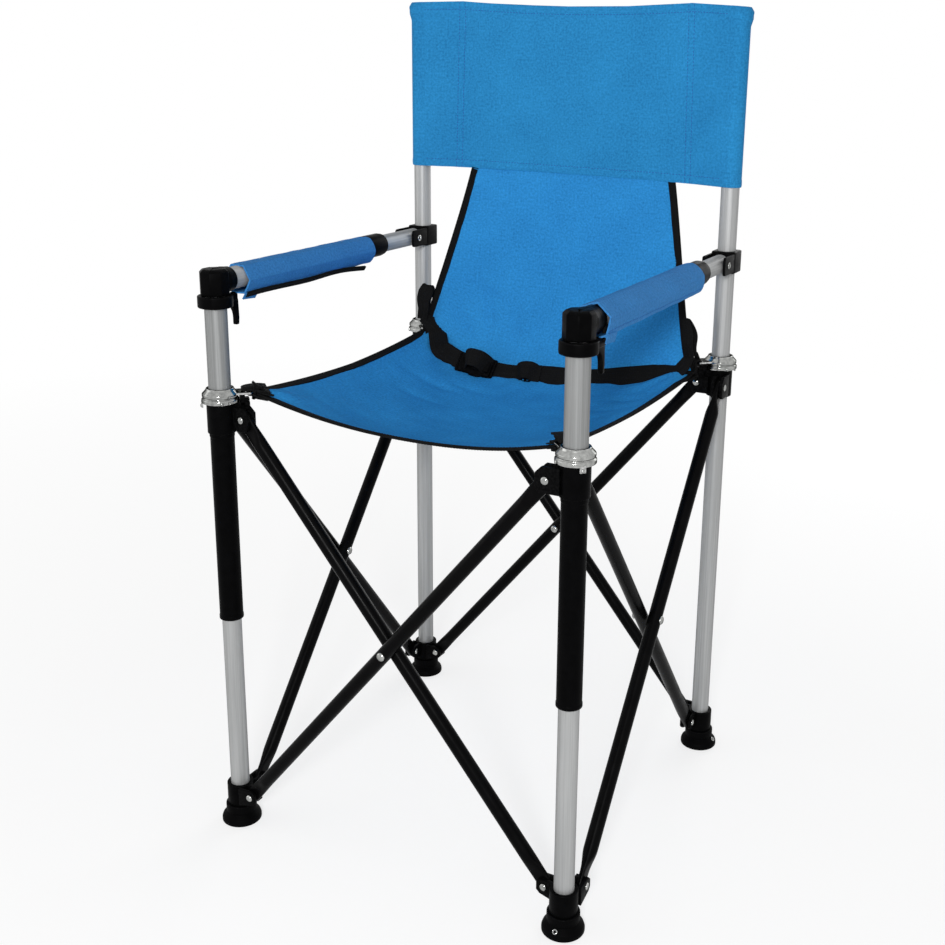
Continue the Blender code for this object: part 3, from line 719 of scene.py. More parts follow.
@dataclass(frozen=True)
class Finish(ABC):
    """A named surface finish, which belongs to one material slot."""

    name: str
    slot: Slot

    def material(self) -> Material:
        """The finish's material, built the first time that it is asked for.

        Returns:
            The material.
        """
        found = bpy.data.materials.get("finish_" + self.name)
        if found:
            return found
        material = bpy.data.materials.new("finish_" + self.name)
        material.use_nodes = True
        self.dress(Wiring(material.node_tree), material.node_tree.nodes["Principled BSDF"])
        return material

    @staticmethod
    def rub(wiring: Wiring, place: NodeSocket) -> NodeSocket:
        """The rubbed-edge mask."""
        edge = wiring.node("ShaderNodeAttribute", {"attribute_name": WEAR}).outputs["Fac"]
        return EFFECTS.use(wiring, "worn", Place=place, Edge=edge).outputs[0]

    @staticmethod
    def bump(wiring: Wiring, height: NodeSocket, depth: float, strength: float = 1.0) -> NodeSocket:
        """The normal that a height gives, at a depth in metres."""
        return wiring.node("ShaderNodeBump", Height=height, Distance=depth, Strength=strength).outputs[0]

    @abstractmethod
    def dress(self, wiring: Wiring, shader: Node) -> None:
        """Wires the finish to its shader."""


@dataclass(frozen=True)
class DrawnMetal(Finish):
    """Anodised or plated metal with drawing lines."""

    dark: Triple = (0.31, 0.315, 0.315)
    light: Triple = (0.47, 0.475, 0.475)
    stretch: Triple = (1.0, 1.0, 0.012)
    rough: tuple[float, float] = (0.40, 0.50)
    edge: float = 0.12
    metallic: float = 0.42
    rubbed: Triple = (0.60, 0.60, 0.60)
    specular: float = 0.10
    depth: float = 0.00002

    def dress(self, wiring: Wiring, shader: Node) -> None:
        """Wires drawing lines to colour, roughness and a shallow relief.

        Args:
            wiring: The material's wiring.
            shader: Its shader.
        """
        place = wiring.place()
        drawn = EFFECTS.use(wiring, "drawn", Place=wiring.scaled(place, self.stretch))
        lines, cloud = drawn.outputs
        colour = wiring.mix(wiring.blend(cloud, 0.35, lines, 0.65), rgba(self.dark), rgba(self.light))
        wiring.give(shader, Base_Color=wiring.mix(self.rub(wiring, place), colour, rgba(self.rubbed)),
                    Roughness=wiring.spread(cloud, 0, 1, *self.rough), Metallic=self.metallic,
                    Specular_Tint=rgba((self.edge,) * 3), Specular_IOR_Level=self.specular,
                    Normal=self.bump(wiring, lines, self.depth))


@dataclass(frozen=True)
class Moulded(Finish):
    """Black plastic, rubber or sprayed steel with a fine skin."""

    colour: Triple = (0.0019, 0.0019, 0.0021)
    rubbed: Triple = (0.0045, 0.0045, 0.0048)
    rough: tuple[float, float] = (0.34, 0.46)
    specular: float = 0.018
    grains: float = 3600.0
    depth: float = 0.000012

    def dress(self, wiring: Wiring, shader: Node) -> None:
        """Wires the skin to colour, roughness and relief.

        Args:
            wiring: The material's wiring.
            shader: Its shader.
        """
        place = wiring.place()
        height, patch = EFFECTS.use(wiring, "grain", Place=place, Grains_per_metre=self.grains).outputs
        colour = wiring.mix(patch, rgba(self.colour, 0.7), rgba(self.colour))
        wiring.give(shader, Base_Color=wiring.mix(self.rub(wiring, place), colour, rgba(self.rubbed)),
                    Roughness=wiring.spread(patch, 0, 1, *self.rough), Specular_IOR_Level=self.specular,
                    Normal=self.bump(wiring, height, self.depth))


@dataclass(frozen=True)
class Canvas(Finish):
    """Coated polyester canvas in a plain weave."""

    # The dark and light ends of the yarn and dye tone; a third of the dark end is also the painted shade in
    # the weave's hollows.
    shade: Triple = (0.014, 0.152, 0.37)
    lit: Triple = (0.036, 0.338, 0.71)
    yarns: float = 1750.0
    depth: float = 0.00022
    specular: float = 0.05

    def dress(self, wiring: Wiring, shader: Node) -> None:
        """Wires the weave and an uneven dye to colour, roughness and relief, and paints shade into the
        weave's hollows.

        Args:
            wiring: The material's wiring.
            shader: Its shader.
        """
        place = wiring.cloth_place()
        height, tone = EFFECTS.use(wiring, "weave", Place=place, Yarns_per_metre=self.yarns).outputs
        dye = EFFECTS.use(wiring, "mottle", Place=place, Fine=360.0, Broad=16.0).outputs[0]
        colour = wiring.mix(wiring.blend(tone, 0.40, dye, 0.60), rgba(self.shade), rgba(self.lit))
        # Painted shade: where the weave dips, the colour is mixed towards a third of the dark tone.
        hollow_shade_mix = wiring.spread(height, 0.0, 0.55, 0.72, 1.0)
        wiring.give(shader, Base_Color=wiring.mix(hollow_shade_mix, rgba(self.shade, 0.35), colour),
                    Roughness=wiring.spread(tone, 0, 1, 0.72, 0.9), Specular_IOR_Level=self.specular,
                    Normal=self.bump(wiring, height, self.depth, 0.7))


@dataclass(frozen=True)
class Webbing(Finish):
    """Ribbed black tape or webbing."""

    colour: Triple = (0.0038, 0.0038, 0.0040)
    worn: Triple = (0.0125, 0.0125, 0.0128)
    yarns: float = 900.0
    depth: float = 0.00030
    specular: float = 0.05

    def dress(self, wiring: Wiring, shader: Node) -> None:
        """Wires the ribs to colour, roughness and relief.

        Args:
            wiring: The material's wiring.
            shader: Its shader.
        """
        place = wiring.cloth_place()
        ribs = wiring.scaled(place, (1.0, 0.55, 1.0))
        height, tone = EFFECTS.use(wiring, "weave", Place=ribs, Yarns_per_metre=self.yarns).outputs
        dye = EFFECTS.use(wiring, "mottle", Place=place, Fine=600.0, Broad=40.0).outputs[0]
        colour = wiring.mix(wiring.math("MULTIPLY", tone, dye), rgba(self.colour), rgba(self.worn))
        wiring.give(shader, Base_Color=colour, Roughness=wiring.spread(height, 0, 1, 0.95, 0.7),
                    Specular_IOR_Level=self.specular,
                    Normal=self.bump(wiring, height, self.depth, 0.8))


@dataclass(frozen=True)
class Thread(Finish):
    """Sewing thread."""

    colour: Triple = (0.032, 0.125, 0.46)
    rough: float = 0.7
    specular: float = 0.1
    depth: float = 0.00008

    def dress(self, wiring: Wiring, shader: Node) -> None:
        """Wires a fine twist to the colour and relief.

        Args:
            wiring: The material's wiring.
            shader: Its shader.
        """
        twist = EFFECTS.use(wiring, "grain", Place=wiring.place(), Grains_per_metre=3800.0).outputs[0]
        wiring.give(shader, Base_Color=wiring.mix(twist, rgba(self.colour, 0.6), rgba(self.colour)),
                    Roughness=self.rough, Specular_IOR_Level=self.specular,
                    Normal=self.bump(wiring, twist, self.depth))


ALUMINIUM = DrawnMetal("anodised_uprights", Slot.TUBE)
# Painted shade: a darker copy of the anodised finish for the front upper tubes, standing in for the shade
# that falls on them.
SHADED_OUTER_ALUMINIUM = DrawnMetal("anodised_outer_tubes_painted_shade", Slot.TUBE, (0.195, 0.200, 0.200), (0.32, 0.326, 0.326))
ARM_ALUMINIUM = DrawnMetal("anodised_arms", Slot.TUBE, stretch=(1.0, 0.012, 1.0))
ZINC = DrawnMetal("zinc_plate", Slot.ZINC, (0.22, 0.225, 0.22), (0.50, 0.505, 0.49), (0.35, 0.35, 0.35),
                  (0.10, 0.22), edge=0.0, metallic=1.0)
PLASTIC = Moulded("moulded_plastic", Slot.PLASTIC)
RUBBER = Moulded("foot_rubber", Slot.PLASTIC, rough=(0.48, 0.62), specular=0.02, grains=2400.0)
PAINT = Moulded("sprayed_steel", Slot.STEEL, (0.0021, 0.0021, 0.0023), (0.0050, 0.0050, 0.0054),
                (0.24, 0.34), 0.034, 2200.0, 0.00001)
BACK_CANVAS = Canvas("back_canvas", Slot.FABRIC)
# Painted light: a lighter copy of the backrest's canvas for the seat, making up for the light that the seat
# lacks.
SEAT_CANVAS_PAINTED_LIGHT = Canvas("seat_canvas_painted_light", Slot.FABRIC, (0.017, 0.166, 0.445), (0.042, 0.372, 0.83))
ARM_CANVAS = Canvas("arm_canvas", Slot.FABRIC, (0.030, 0.146, 0.38), (0.064, 0.302, 0.71))
TAPE = Webbing("binding_tape", Slot.WEBBING)
STRAP = Webbing("belt_webbing", Slot.WEBBING, yarns=650.0)
BLUE_THREAD = Thread("blue_thread", Slot.FABRIC)
BLACK_THREAD = Thread("black_thread", Slot.WEBBING, (0.010, 0.010, 0.011))


@dataclass(frozen=True)
class Stitch:
    """A stitch: its pitch, half the thread's thickness and the thread."""

    pitch: float
    thick: float
    thread: Thread


class GeometryTrees(NodeGroups):
    """Geometry Nodes trees for what repeats, with their sizes as inputs."""

    kind = "GeometryNodeTree"
    result = "Geometry"

    def copies(self, wiring: Wiring, given: Sockets, sink: Node, **inputs: NodeSocket) -> NodeTree:
        """Sets copies on points, realises and smooths them, and gives them their finish.

        Args:
            wiring: The tree's wiring.
            given: Its inputs by name.
            sink: Its output node.
            **inputs: Inputs of the node that sets the copies.

        Returns:
            The finished tree.
        """
        made = wiring.node("GeometryNodeInstanceOnPoints", **inputs)
        made = wiring.node("GeometryNodeRealizeInstances", Geometry=made.outputs[0])
        made = wiring.node("GeometryNodeSetShadeSmooth", Geometry=made.outputs[0])
        made = wiring.node("GeometryNodeSetMaterial", Geometry=made.outputs[0], Material=given["Finish"])
        wiring.give(sink, Geometry=made.outputs[0])
        return wiring.tree

    def rivets(self, head: RivetHead) -> NodeTree:
        """A tree that sets a rivet head on each point, facing the way that the point says.

        Args:
            head: The kind of head.

        Returns:
            The tree.
        """
        inputs = {"Geometry": "Geometry", "Radius": "Float", "Height": "Float", "Finish": "Material"}
        wiring, given, sink = self.start(head.value + "_rivets", inputs, "Geometry")
        facing = wiring.node("GeometryNodeInputNamedAttribute", {"data_type": "FLOAT_VECTOR"}, Name=FACING)
        turn = wiring.node("FunctionNodeAlignRotationToVector", {"axis": "Z"}, Vector=facing.outputs[0])
        size = wiring.node("ShaderNodeCombineXYZ", X=given["Radius"], Y=given["Radius"], Z=given["Height"])
        if head is RivetHead.DOME:
            shape = wiring.node("GeometryNodeMeshUVSphere", Segments=24, Rings=12)
        else:
            rim = wiring.node("GeometryNodeCurvePrimitiveCircle", Resolution=28, Radius=0.72)
            section = wiring.node("GeometryNodeCurvePrimitiveCircle", Resolution=10, Radius=0.28)
            shape = wiring.node("GeometryNodeCurveToMesh", Curve=rim.outputs[0],
                                Profile_Curve=section.outputs[0])
            shape = wiring.node("GeometryNodeTransform", Geometry=shape.outputs[0], Scale=(1.0, 1.0, 3.2))
        return self.copies(wiring, given, sink, Points=given["Geometry"], Instance=shape.outputs[0],
                           Rotation=turn.outputs[0], Scale=size.outputs[0])

    def stitches(self) -> NodeTree:
        """A tree that lays thread stitches along lines, at a pitch.

        Returns:
            The tree.
        """
        inputs = {"Geometry": "Geometry", "Pitch": "Float", "Thread": "Float", "Finish": "Material"}
        wiring, given, sink = self.start("stitches", inputs, "Geometry")
        line = wiring.node("GeometryNodeMeshToCurve", Mesh=given["Geometry"])
        spaced = wiring.node("GeometryNodeResampleCurve", {"mode": "LENGTH"}, Curve=line.outputs[0],
                             Length=given["Pitch"])
        tangent = wiring.node("GeometryNodeInputTangent")
        turn = wiring.node("FunctionNodeAlignRotationToVector", {"axis": "X"}, Vector=tangent.outputs[0])
        length = wiring.math("MULTIPLY", given["Pitch"], 0.36)
        size = wiring.node("ShaderNodeCombineXYZ", X=length, Y=given["Thread"], Z=given["Thread"])
        bead = wiring.node("GeometryNodeMeshUVSphere", Segments=6, Rings=5)
        return self.copies(wiring, given, sink, Points=spaced.outputs[0], Instance=bead.outputs[0],
                           Rotation=turn.outputs[0], Scale=size.outputs[0])


TREES = GeometryTrees()


def mesh_of(name: str, shell: Shell, sharp: float) -> Mesh:
    """A mesh with outward faces, a mask of its convex edges and its cloth coordinates.

    Args:
        name: The mesh's name.
        shell: Points and faces.
        sharp: Angle in degrees past which an edge stays crisp.

    Returns:
        The mesh.
    """
    mesh = bpy.data.meshes.new(name)
    mesh.from_pydata(shell.points.tolist(), [], shell.faces)
    bm = bmesh.new()
    bm.from_mesh(mesh)
    bmesh.ops.recalc_face_normals(bm, faces=bm.faces)
    layer = bm.verts.layers.float.new(WEAR)
    for edge in bm.edges:
        if edge.is_manifold and edge.calc_face_angle_signed(0.0) > WEAR_ANGLE:
            for vert in edge.verts:
                vert[layer] = 1.0
    bm.to_mesh(mesh)
    bm.free()
    if shell.uv is not None:
        corners = np.empty(len(mesh.loops), np.int32)
        mesh.loops.foreach_get("vertex_index", corners)
        mesh.uv_layers.new(name=CLOTH_UV).data.foreach_set("uv", shell.uv[corners].ravel())
    mesh.shade_smooth()
    mesh.set_sharp_from_angle(angle=radians(sharp))
    return mesh


class Assembly(ABC):
    """A sub-assembly, which puts its pieces into the scene, fixes each to the body that it moves with and
    hides the node that it stands for.
    """

    where: Spot
    part = ""

    @property
    def prefix(self) -> str:
        """The start of the names of its pieces and nodes."""
        return self.where.label + "_"

    @property
    def body(self) -> str:
        """The body that its pieces move with."""
        return self.prefix + self.part

    @abstractmethod
    def build(self) -> None:
        """Makes the sub-assembly's pieces."""

    def enter(self, obj: Object, finish: Finish, node: str, body: str) -> Object:
        """Hands a piece to the frame and reports it.

        Args:
            obj: The finished piece.
            finish: Its finish. Not used.
            node: The node that it stands for, without the prefix, or nothing.
            body: The body that it moves with, or nothing for the sub-assembly's own.

        Returns:
            The same piece.
        """
        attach(obj, body or self.body)
        if node:
            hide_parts(self.prefix + node)
        LOG.info("%s: %d faces on %s", obj.name, len(obj.data.polygons), body or self.body)
        return obj

    def place(self, name: str, shell: Shell, finish: Finish, node: str = "", body: str = "",
              sharp: float = 34.0) -> Object:
        """Makes a piece from a skin.

        Args:
            name: The piece's name without the prefix.
            shell: Points and faces, in place.
            finish: Its finish.
            node: The node that it stands for.
            body: The body that it moves with.
            sharp: Angle in degrees past which an edge stays crisp.

        Returns:
            The piece.
        """
        obj = bpy.data.objects.new(self.prefix + name, mesh_of(self.prefix + name, shell, sharp))
        obj.data.materials.append(finish.material())
        bpy.context.scene.collection.objects.link(obj)
        return self.enter(obj, finish, node, body)

    def grown(self, mesh: Mesh, tree: NodeTree, sizes: dict[str, float], finish: Finish, node: str = "",
              body: str = "") -> Object:
        """Makes a piece by running a Geometry Nodes tree on a guide mesh.

        Args:
            mesh: The guide that the tree works on, with the piece's name.
            tree: The tree.
            sizes: Values of its named sizes.
            finish: The finish that the tree sets.
            node: The node that the piece stands for.
            body: The body that it moves with.

        Returns:
            The piece, as a plain mesh.
        """
        obj = bpy.data.objects.new(mesh.name, mesh)
        bpy.context.scene.collection.objects.link(obj)
        modifier = obj.modifiers.new("copies", "NODES")
        modifier.node_group = tree
        values = {**sizes, "Finish": finish.material()}
        for item in tree.interface.items_tree:
            if item.in_out == "INPUT" and item.name in values:
                modifier[item.identifier] = values[item.name]
        bpy.context.view_layer.update()
        result = bpy.data.meshes.new_from_object(obj.evaluated_get(bpy.context.evaluated_depsgraph_get()))
        obj.modifiers.clear()
        obj.data = result
        result.name = obj.name
        return self.enter(obj, finish, node, body)

    def rivets(self, name: str, heads: Heads, rivet: Rivet, node: str = "") -> Object:
        """Makes rivet heads.

        Args:
            name: The piece's name without the prefix.
            heads: (place, facing) of each head.
            rivet: What each head is like.
            node: The node that they stand for.

        Returns:
            The piece.
        """
        mesh = bpy.data.meshes.new(self.prefix + name)
        mesh.from_pydata([tuple(spot) for spot, _ in heads], [], [])
        layer = mesh.attributes.new(FACING, "FLOAT_VECTOR", "POINT")
        layer.data.foreach_set("vector", [c for _, way in heads for c in way])
        sizes = {"Radius": rivet.radius, "Height": rivet.height}
        return self.grown(mesh, TREES.group("rivets", rivet.kind), sizes, ZINC, node)

    def stitches(self, name: str, lines: Sequence[Array], stitch: Stitch, body: str = "") -> Object:
        """Makes rows of stitches.

        Args:
            name: The piece's name without the prefix.
            lines: Points along each row.
            stitch: What each stitch is like.
            body: The body that they move with.

        Returns:
            The piece.
        """
        edges, start = [], 0
        for line in lines:
            edges += [(start + i, start + i + 1) for i in range(len(line) - 1)]
            start += len(line)
        mesh = bpy.data.meshes.new(self.prefix + name)
        mesh.from_pydata(np.vstack(lines).tolist(), edges, [])
        sizes = {"Pitch": stitch.pitch, "Thread": stitch.thick}
        return self.grown(mesh, TREES.group("stitches"), sizes, stitch.thread, body=body)

    @staticmethod
    def crumple(pieces: Sequence[Object], anchor: float, keep: float) -> None:
        """Gives each soft piece its own copy of its mesh."""
        for obj in pieces:
            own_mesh(obj)


def clevis(pivot_z: float, offset: float, low: float, high: float, slope: float, tip: float = 0.0335,
           chamfer: float = 0.004) -> Shell:
    """Two pairs of ears at a right angle, reaching along +X and +Y, that each hold a brace end.

    Args:
        pivot_z: Height of the pivot.
        offset: The brace plane's place beside the upright's axis.
        low: The ears' lower edge.
        high: Their upper edge.
        slope: How far the lower edge runs down to the hub.
        tip: How far the ears reach.
        chamfer: How much of their upper outer corner is cut off.

    Returns:
        The ears, with a pin between each pair.
    """
    root, cut, inner, outer, pin_r, pin_bore = 0.0093, 0.004, 0.0034, 0.0074, 0.003, 0.001
    outline = [(root, low - slope), (tip - cut, low), (tip, low + cut), (tip, high - chamfer),
               (tip - chamfer, high), (root, high)]
    shape = rounded(outline, 0.0012, steps=3)
    half_pin = inner + 0.001
    pin = pipe(pin_r, pin_bore, -half_pin, half_pin).moved(ALONG_Y).at(SIZES.pivot_reach, offset, pivot_z)
    fork = plate(shape, offset - outer, offset - inner) + plate(shape, offset + inner, offset + outer) + pin
    return fork + fork.moved(QUARTER)


def clevis_heads(pivot_z: float, offset: float, placing: Matrix) -> Heads:
    """The four rivet heads of a two-way clevis hub.

    Args:
        pivot_z: Height of the pivots.
        offset: The brace plane's place beside the upright's axis.
        placing: The matrix of the hub.

    Returns:
        The place and facing of each head.
    """
    outer = 0.0073
    heads = []
    for matrix in (placing, placing @ QUARTER):
        for sign in (-1, 1):
            spot = Vector((SIZES.pivot_reach, offset + sign * outer, pivot_z))
            heads.append((matrix @ spot, matrix.to_3x3() @ Vector((0, sign, 0))))
    return heads


@dataclass
class Upright(Assembly):
    """One leg tube with its foot and foot clevis."""

    where: Corner
    foot_z: float = 0.0043
    front_top: float = 0.500
    rear_top: float = 0.9475
    clevis_low: float = 0.0243
    clevis_high: float = 0.051
    clevis_edge: float = 0.0010
    ear_low: float = 0.0335
    ear_high: float = 0.0505
    ear_slope: float = 0.006
    rivet: Rivet = Rivet(RivetHead.DOME, 0.0043, 0.0020)
    screw: Rivet = Rivet(RivetHead.EYELET, 0.0030, 0.0008)
    screw_spot: Triple = (-0.0202, 0, 0.0104)
    screw_way: Triple = (-0.70, 0, 0.71)
    part = "leg"

    def tube(self) -> Shell:
        """The leg tube."""
        top = self.front_top if self.where.is_front else self.rear_top
        return pipe(SIZES.tube_r, SIZES.tube_r - SIZES.tube_wall, self.foot_z, top)

    def foot(self) -> Shell:
        """A rubber foot with a domed flare, a groove and a neck.

        Returns:
            The foot, about Z.
        """
        line = MM * np.array([(20.5, 0), (23.3, 1), (23.3, 5), (22.2, 8.2), (19, 11.2), (18, 12.2),
                              (17.3, 12.8), (17.3, 13.8), (18, 14.4), (18, 24), (11.3, 24), (11.3, 20)])
        return turned(rounded(line, 0.0014, closed=False))

    def foot_clevis(self) -> Shell:
        """The hub above the foot, with two forks at a right angle.

        Returns:
            The hub, about Z.
        """
        hub = pipe(SIZES.hub_r, SIZES.sliding_bore, self.clevis_low, self.clevis_high, self.clevis_edge)
        edges = self.ear_low, self.ear_high, self.ear_slope
        return hub + clevis(SIZES.foot_pivot_z, -SIZES.brace_offset, *edges)

    def build(self) -> None:
        """Makes the leg's pieces."""
        placing = self.where.placing()
        self.place("leg_tube", self.tube().moved(placing), ALUMINIUM, "post")
        self.place("rubber_foot", self.foot().moved(placing), RUBBER, "foot_pad")
        self.place("foot_clevis", self.foot_clevis().moved(placing), PLASTIC, "foot_bracket")
        heads = clevis_heads(SIZES.foot_pivot_z, -SIZES.brace_offset, placing)
        self.rivets("foot_rivets", heads, self.rivet)
        heads = [(placing @ Vector(self.screw_spot), placing.to_3x3() @ Vector(self.screw_way))]
        self.rivets("foot_screw", heads, self.screw)


@dataclass
class Slider(Assembly):
    """The hub that runs on an upright, with its pressed collar and, in front, its sleeve and upper tube."""

    where: Corner
    hub_low: float = 0.489
    hub_high: float = 0.5235
    hub_edge: float = 0.0009
    ear_low: float = 0.4920
    ear_high: float = 0.519
    ear_tip: float = 0.0355
    ear_chamfer: float = 0.0065
    collar_r: float = 0.0205
    tab_root: float = 0.013
    tab_reach: float = 0.034
    tab_w: float = 0.022
    tab_edge: float = 0.0004
    slot_w: float = 0.014
    slot_in: float = 0.027
    slot_out: float = 0.031
    sleeve_r: float = 0.0138
    sleeve_low: float = 0.2657
    sleeve_high: float = 0.4887
    sleeve_lip: float = 0.0005
    upper_low: float = 0.2687
    plug_l: float = 0.020
    rivet: Rivet = Rivet(RivetHead.DOME, 0.0044, 0.0022)
    screw: Rivet = Rivet(RivetHead.DOME, 0.0021, 0.0012)
    screw_spots: tuple[Triple, ...] = ((pi / 2, -0.0002, 0.0016), (-pi / 2, -0.0002, 0.0016),
                                       (pi, 0.0001, -0.0030))
    steps: tuple[tuple[float, ...], ...] = ((0.0125, 0.0315, 0.0060, 0.5140, 0.5230),
                                            (0.0209, 0.0262, 0.0060, 0.5160, 0.5308),
                                            (0.0209, 0.0312, 0.0050, 0.5160, 0.5268))
    part = "slider"

    @property
    def bore(self) -> float:
        """The hub's bore."""
        return SIZES.outer_bore_r if self.where.is_front else SIZES.sliding_bore

    def hub(self) -> Shell:
        """The moulded hub: a barrel, two forks and the stepped blocks under the collar's tab.

        Returns:
            The hub, about Z.
        """
        made = pipe(SIZES.hub_r, self.bore, self.hub_low, self.hub_high, self.hub_edge)
        edges = self.ear_low, self.ear_high, 0.0, self.ear_tip, self.ear_chamfer
        made += clevis(SIZES.slider_pivot_z, SIZES.brace_offset, *edges)
        for x0, x1, half_w, low, high in self.steps:
            made += block((x0, -half_w, low), (x1, half_w, high)).moved(Matrix.Rotation(pi / 4, 4, "Z"))
        return made

    def collar(self) -> Shell:
        """The pressed collar: a beaded ring, a slotted tab to the seat corner and a lug over the hub.

        Returns:
            The collar, with its tab along +X.
        """
        z, bore = SIZES.collar_z, self.bore
        section = [(bore, 0.0), (self.collar_r, 0.0), (self.collar_r, 0.0040), (0.0186, 0.0056),
                   (0.0186, 0.0064), (0.0198, 0.0072), (0.0198, 0.0100), (0.0160, 0.0140),
                   (0.0150, 0.0162), (bore, 0.0162)]
        made = ring([(r, z + up) for r, up in section], 0.0010)
        half_w, half_slot, soft = self.tab_w / 2, self.slot_w / 2, self.tab_edge
        outer = self.even(rounded(oblong(self.tab_root, -half_w, self.tab_reach, half_w), 0.003))
        inner = self.even(rounded(oblong(self.slot_in, -half_slot, self.slot_out, half_slot), 0.0012))
        low, high = SIZES.tab_z, SIZES.tab_z + SIZES.tab_t
        rows = [(outer, low + soft, 0.0), (outer, high - soft, 0.0), (outer, high, soft),
                (inner, high, -soft), (inner, high - soft, 0.0), (inner, low + soft, 0.0),
                (inner, low, -soft), (outer, low, soft)]
        made += loft([level(inset(line, back), height) for line, height, back in rows], Ends.RING)
        return made + block((-0.0207, -0.0032, z - 0.0052), (-0.0190, 0.0032, z + 0.0020), 0.0006, 0.0004)

    def even(self, line: Array) -> Array:
        """A closed line resampled at even angles round the middle of the tab's slot.

        Args:
            line: Points of the line.

        Returns:
            The new points.
        """
        count = 72
        turns = np.arctan2(line[:, 1], line[:, 0] - (self.slot_in + self.slot_out) / 2)
        order = np.argsort(turns)
        wanted = -pi + 2 * pi * (np.arange(count) + 0.5) / count
        turns, line = turns[order], line[order]
        return np.column_stack([np.interp(wanted, turns, axis, period=2 * pi) for axis in line.T])

    def build(self) -> None:
        """Makes the slider's pieces."""
        placing, tab_turn = self.where.placing(), self.where.placing(0.5)
        self.place("slider_hub", self.hub().moved(placing), PLASTIC, "slider_bracket")
        self.place("pressed_collar", self.collar().moved(tab_turn), ZINC, "collar")
        heads = clevis_heads(SIZES.slider_pivot_z, SIZES.brace_offset, placing)
        self.rivets("slider_rivets", heads, self.rivet)
        screws = []
        for angle, out, up in self.screw_spots:
            way = Vector((cos(angle), sin(angle), 0))
            spot = way * (self.collar_r + out) + Vector((0, 0, SIZES.collar_z + up))
            screws.append((tab_turn @ spot, tab_turn.to_3x3() @ way))
        self.rivets("collar_screws", screws, self.screw)
        if self.where.is_front:
            self.build_front(placing)

    def build_front(self, placing: Matrix) -> None:
        """Makes the sleeve, the upper tube and the plug in its top.

        Args:
            placing: The upright's matrix.
        """
        low, high, bore, top = self.sleeve_low, self.sleeve_high, self.bore, SIZES.latch_top
        r, thin = self.sleeve_r, self.sleeve_r - self.sleeve_lip
        sleeve = ring([(bore, low), (r, low), (r, low + 0.004), (thin, low + 0.0045), (thin, high - 0.0045),
                       (r, high - 0.004), (r, high), (bore, high)], 0.0008)
        self.place("black_sleeve", sleeve.moved(placing), PLASTIC, "sleeve")
        tube = pipe(SIZES.outer_tube_r, SIZES.sliding_bore, self.upper_low, top - SIZES.gap)
        # The upper tube takes the darker aluminium copy, which is painted shade.
        self.place("silver_tube", tube.moved(placing), SHADED_OUTER_ALUMINIUM, "upper_tube")
        cone = [(SIZES.tube_r, top - self.plug_l), (SIZES.tube_r, top), (0.0045, top + 0.0055)]
        self.place("plug", turned(rounded(cone, 0.0008, closed=False)).moved(placing), PLASTIC, "cone_plug")


@dataclass
class BracePair(Assembly):
    """The two crossed braces of one side and the rivet where they cross."""

    where: Flank
    paddle_t: float = 0.006
    paddle_w: float = 0.017
    paddle_l: float = 0.013
    paddle_power: float = 0.42
    flare_l: float = 0.025
    rivet: Rivet = Rivet(RivetHead.DOME, 0.0050, 0.0024)
    part = "outer_brace"

    def axes(self) -> tuple[Vector, Vector]:
        """The direction along this side and its outward normal."""
        turn = Matrix.Rotation(self.where.value * pi / 2, 3, "Z")
        return turn @ Vector((1, 0, 0)), turn @ Vector((0, -1, 0))

    def ends(self, outer: bool) -> tuple[Vector, Vector]:
        """Finds the pivots of one brace.

        Args:
            outer: True for the outer brace.

        Returns:
            The foot pivot and the slider pivot.
        """
        along, outward = self.axes()
        near, far = (list(Corner)[(self.where.value + i) % 4].axis for i in (0, 1))
        ends = [near + SIZES.pivot_reach * along, far - SIZES.pivot_reach * along]
        foot, top = ends if outer else ends[::-1]
        offset = outward * (SIZES.brace_offset if outer else -SIZES.brace_offset)
        low, high = (Vector((0, 0, z)) for z in (SIZES.foot_pivot_z, SIZES.slider_pivot_z))
        return foot + offset + low, top + offset + high

    def brace(self, outer: bool) -> Shell:
        """One brace: a tube with flattened, rounded ends.

        Args:
            outer: True for the outer brace.

        Returns:
            The brace in place.
        """
        sides = 36
        foot, top = self.ends(outer)
        length = (top - foot).length
        w, t, r, power = self.paddle_w / 2, self.paddle_t / 2, SIZES.brace_r, self.paddle_power
        rows = [(-w * cos(a), w * sin(a), t * (0.82 if a < 0.2 else 1.0), power)
                for a in (0.12, 0.3, 0.55, 0.85, 1.2, pi / 2)]
        rows.append((self.paddle_l * 0.6, w, t, power))
        for share in np.linspace(0, 1, 9):
            ease = share * share * (3 - 2 * share)
            rows.append((self.paddle_l + self.flare_l * share, w + (r - w) * ease, t + (r - t) * ease,
                         power + (1 - power) * ease))
        rows += [(length - s, *rest) for s, *rest in reversed(rows)]
        around = circle(2 * np.pi * (np.arange(sides) + 0.5) / sides)
        rings = [level((wide, thick) * np.sign(around) * np.abs(around) ** bend, s)
                 for s, wide, thick, bend in rows]
        outward, along = self.axes()[1], (top - foot).normalized()
        turn = Matrix((outward.cross(along), outward, along)).transposed().to_4x4()
        return loft(rings).moved(Matrix.Translation(foot) @ turn)

    def build(self) -> None:
        """Makes the two braces and their rivet."""
        for kind in ("outer", "inner"):
            node = kind + "_brace"
            self.place(kind + "_strut", self.brace(kind == "outer"), PAINT, node, self.prefix + node)
        middle = sum((*self.ends(True), *self.ends(False)), Vector()) / 4
        outward, reach = self.axes()[1], SIZES.brace_offset + SIZES.brace_r
        heads = [(middle + outward * reach * sign, outward * sign) for sign in (-1, 1)]
        self.rivets("crossing_rivet", heads, self.rivet, "brace_rivet")


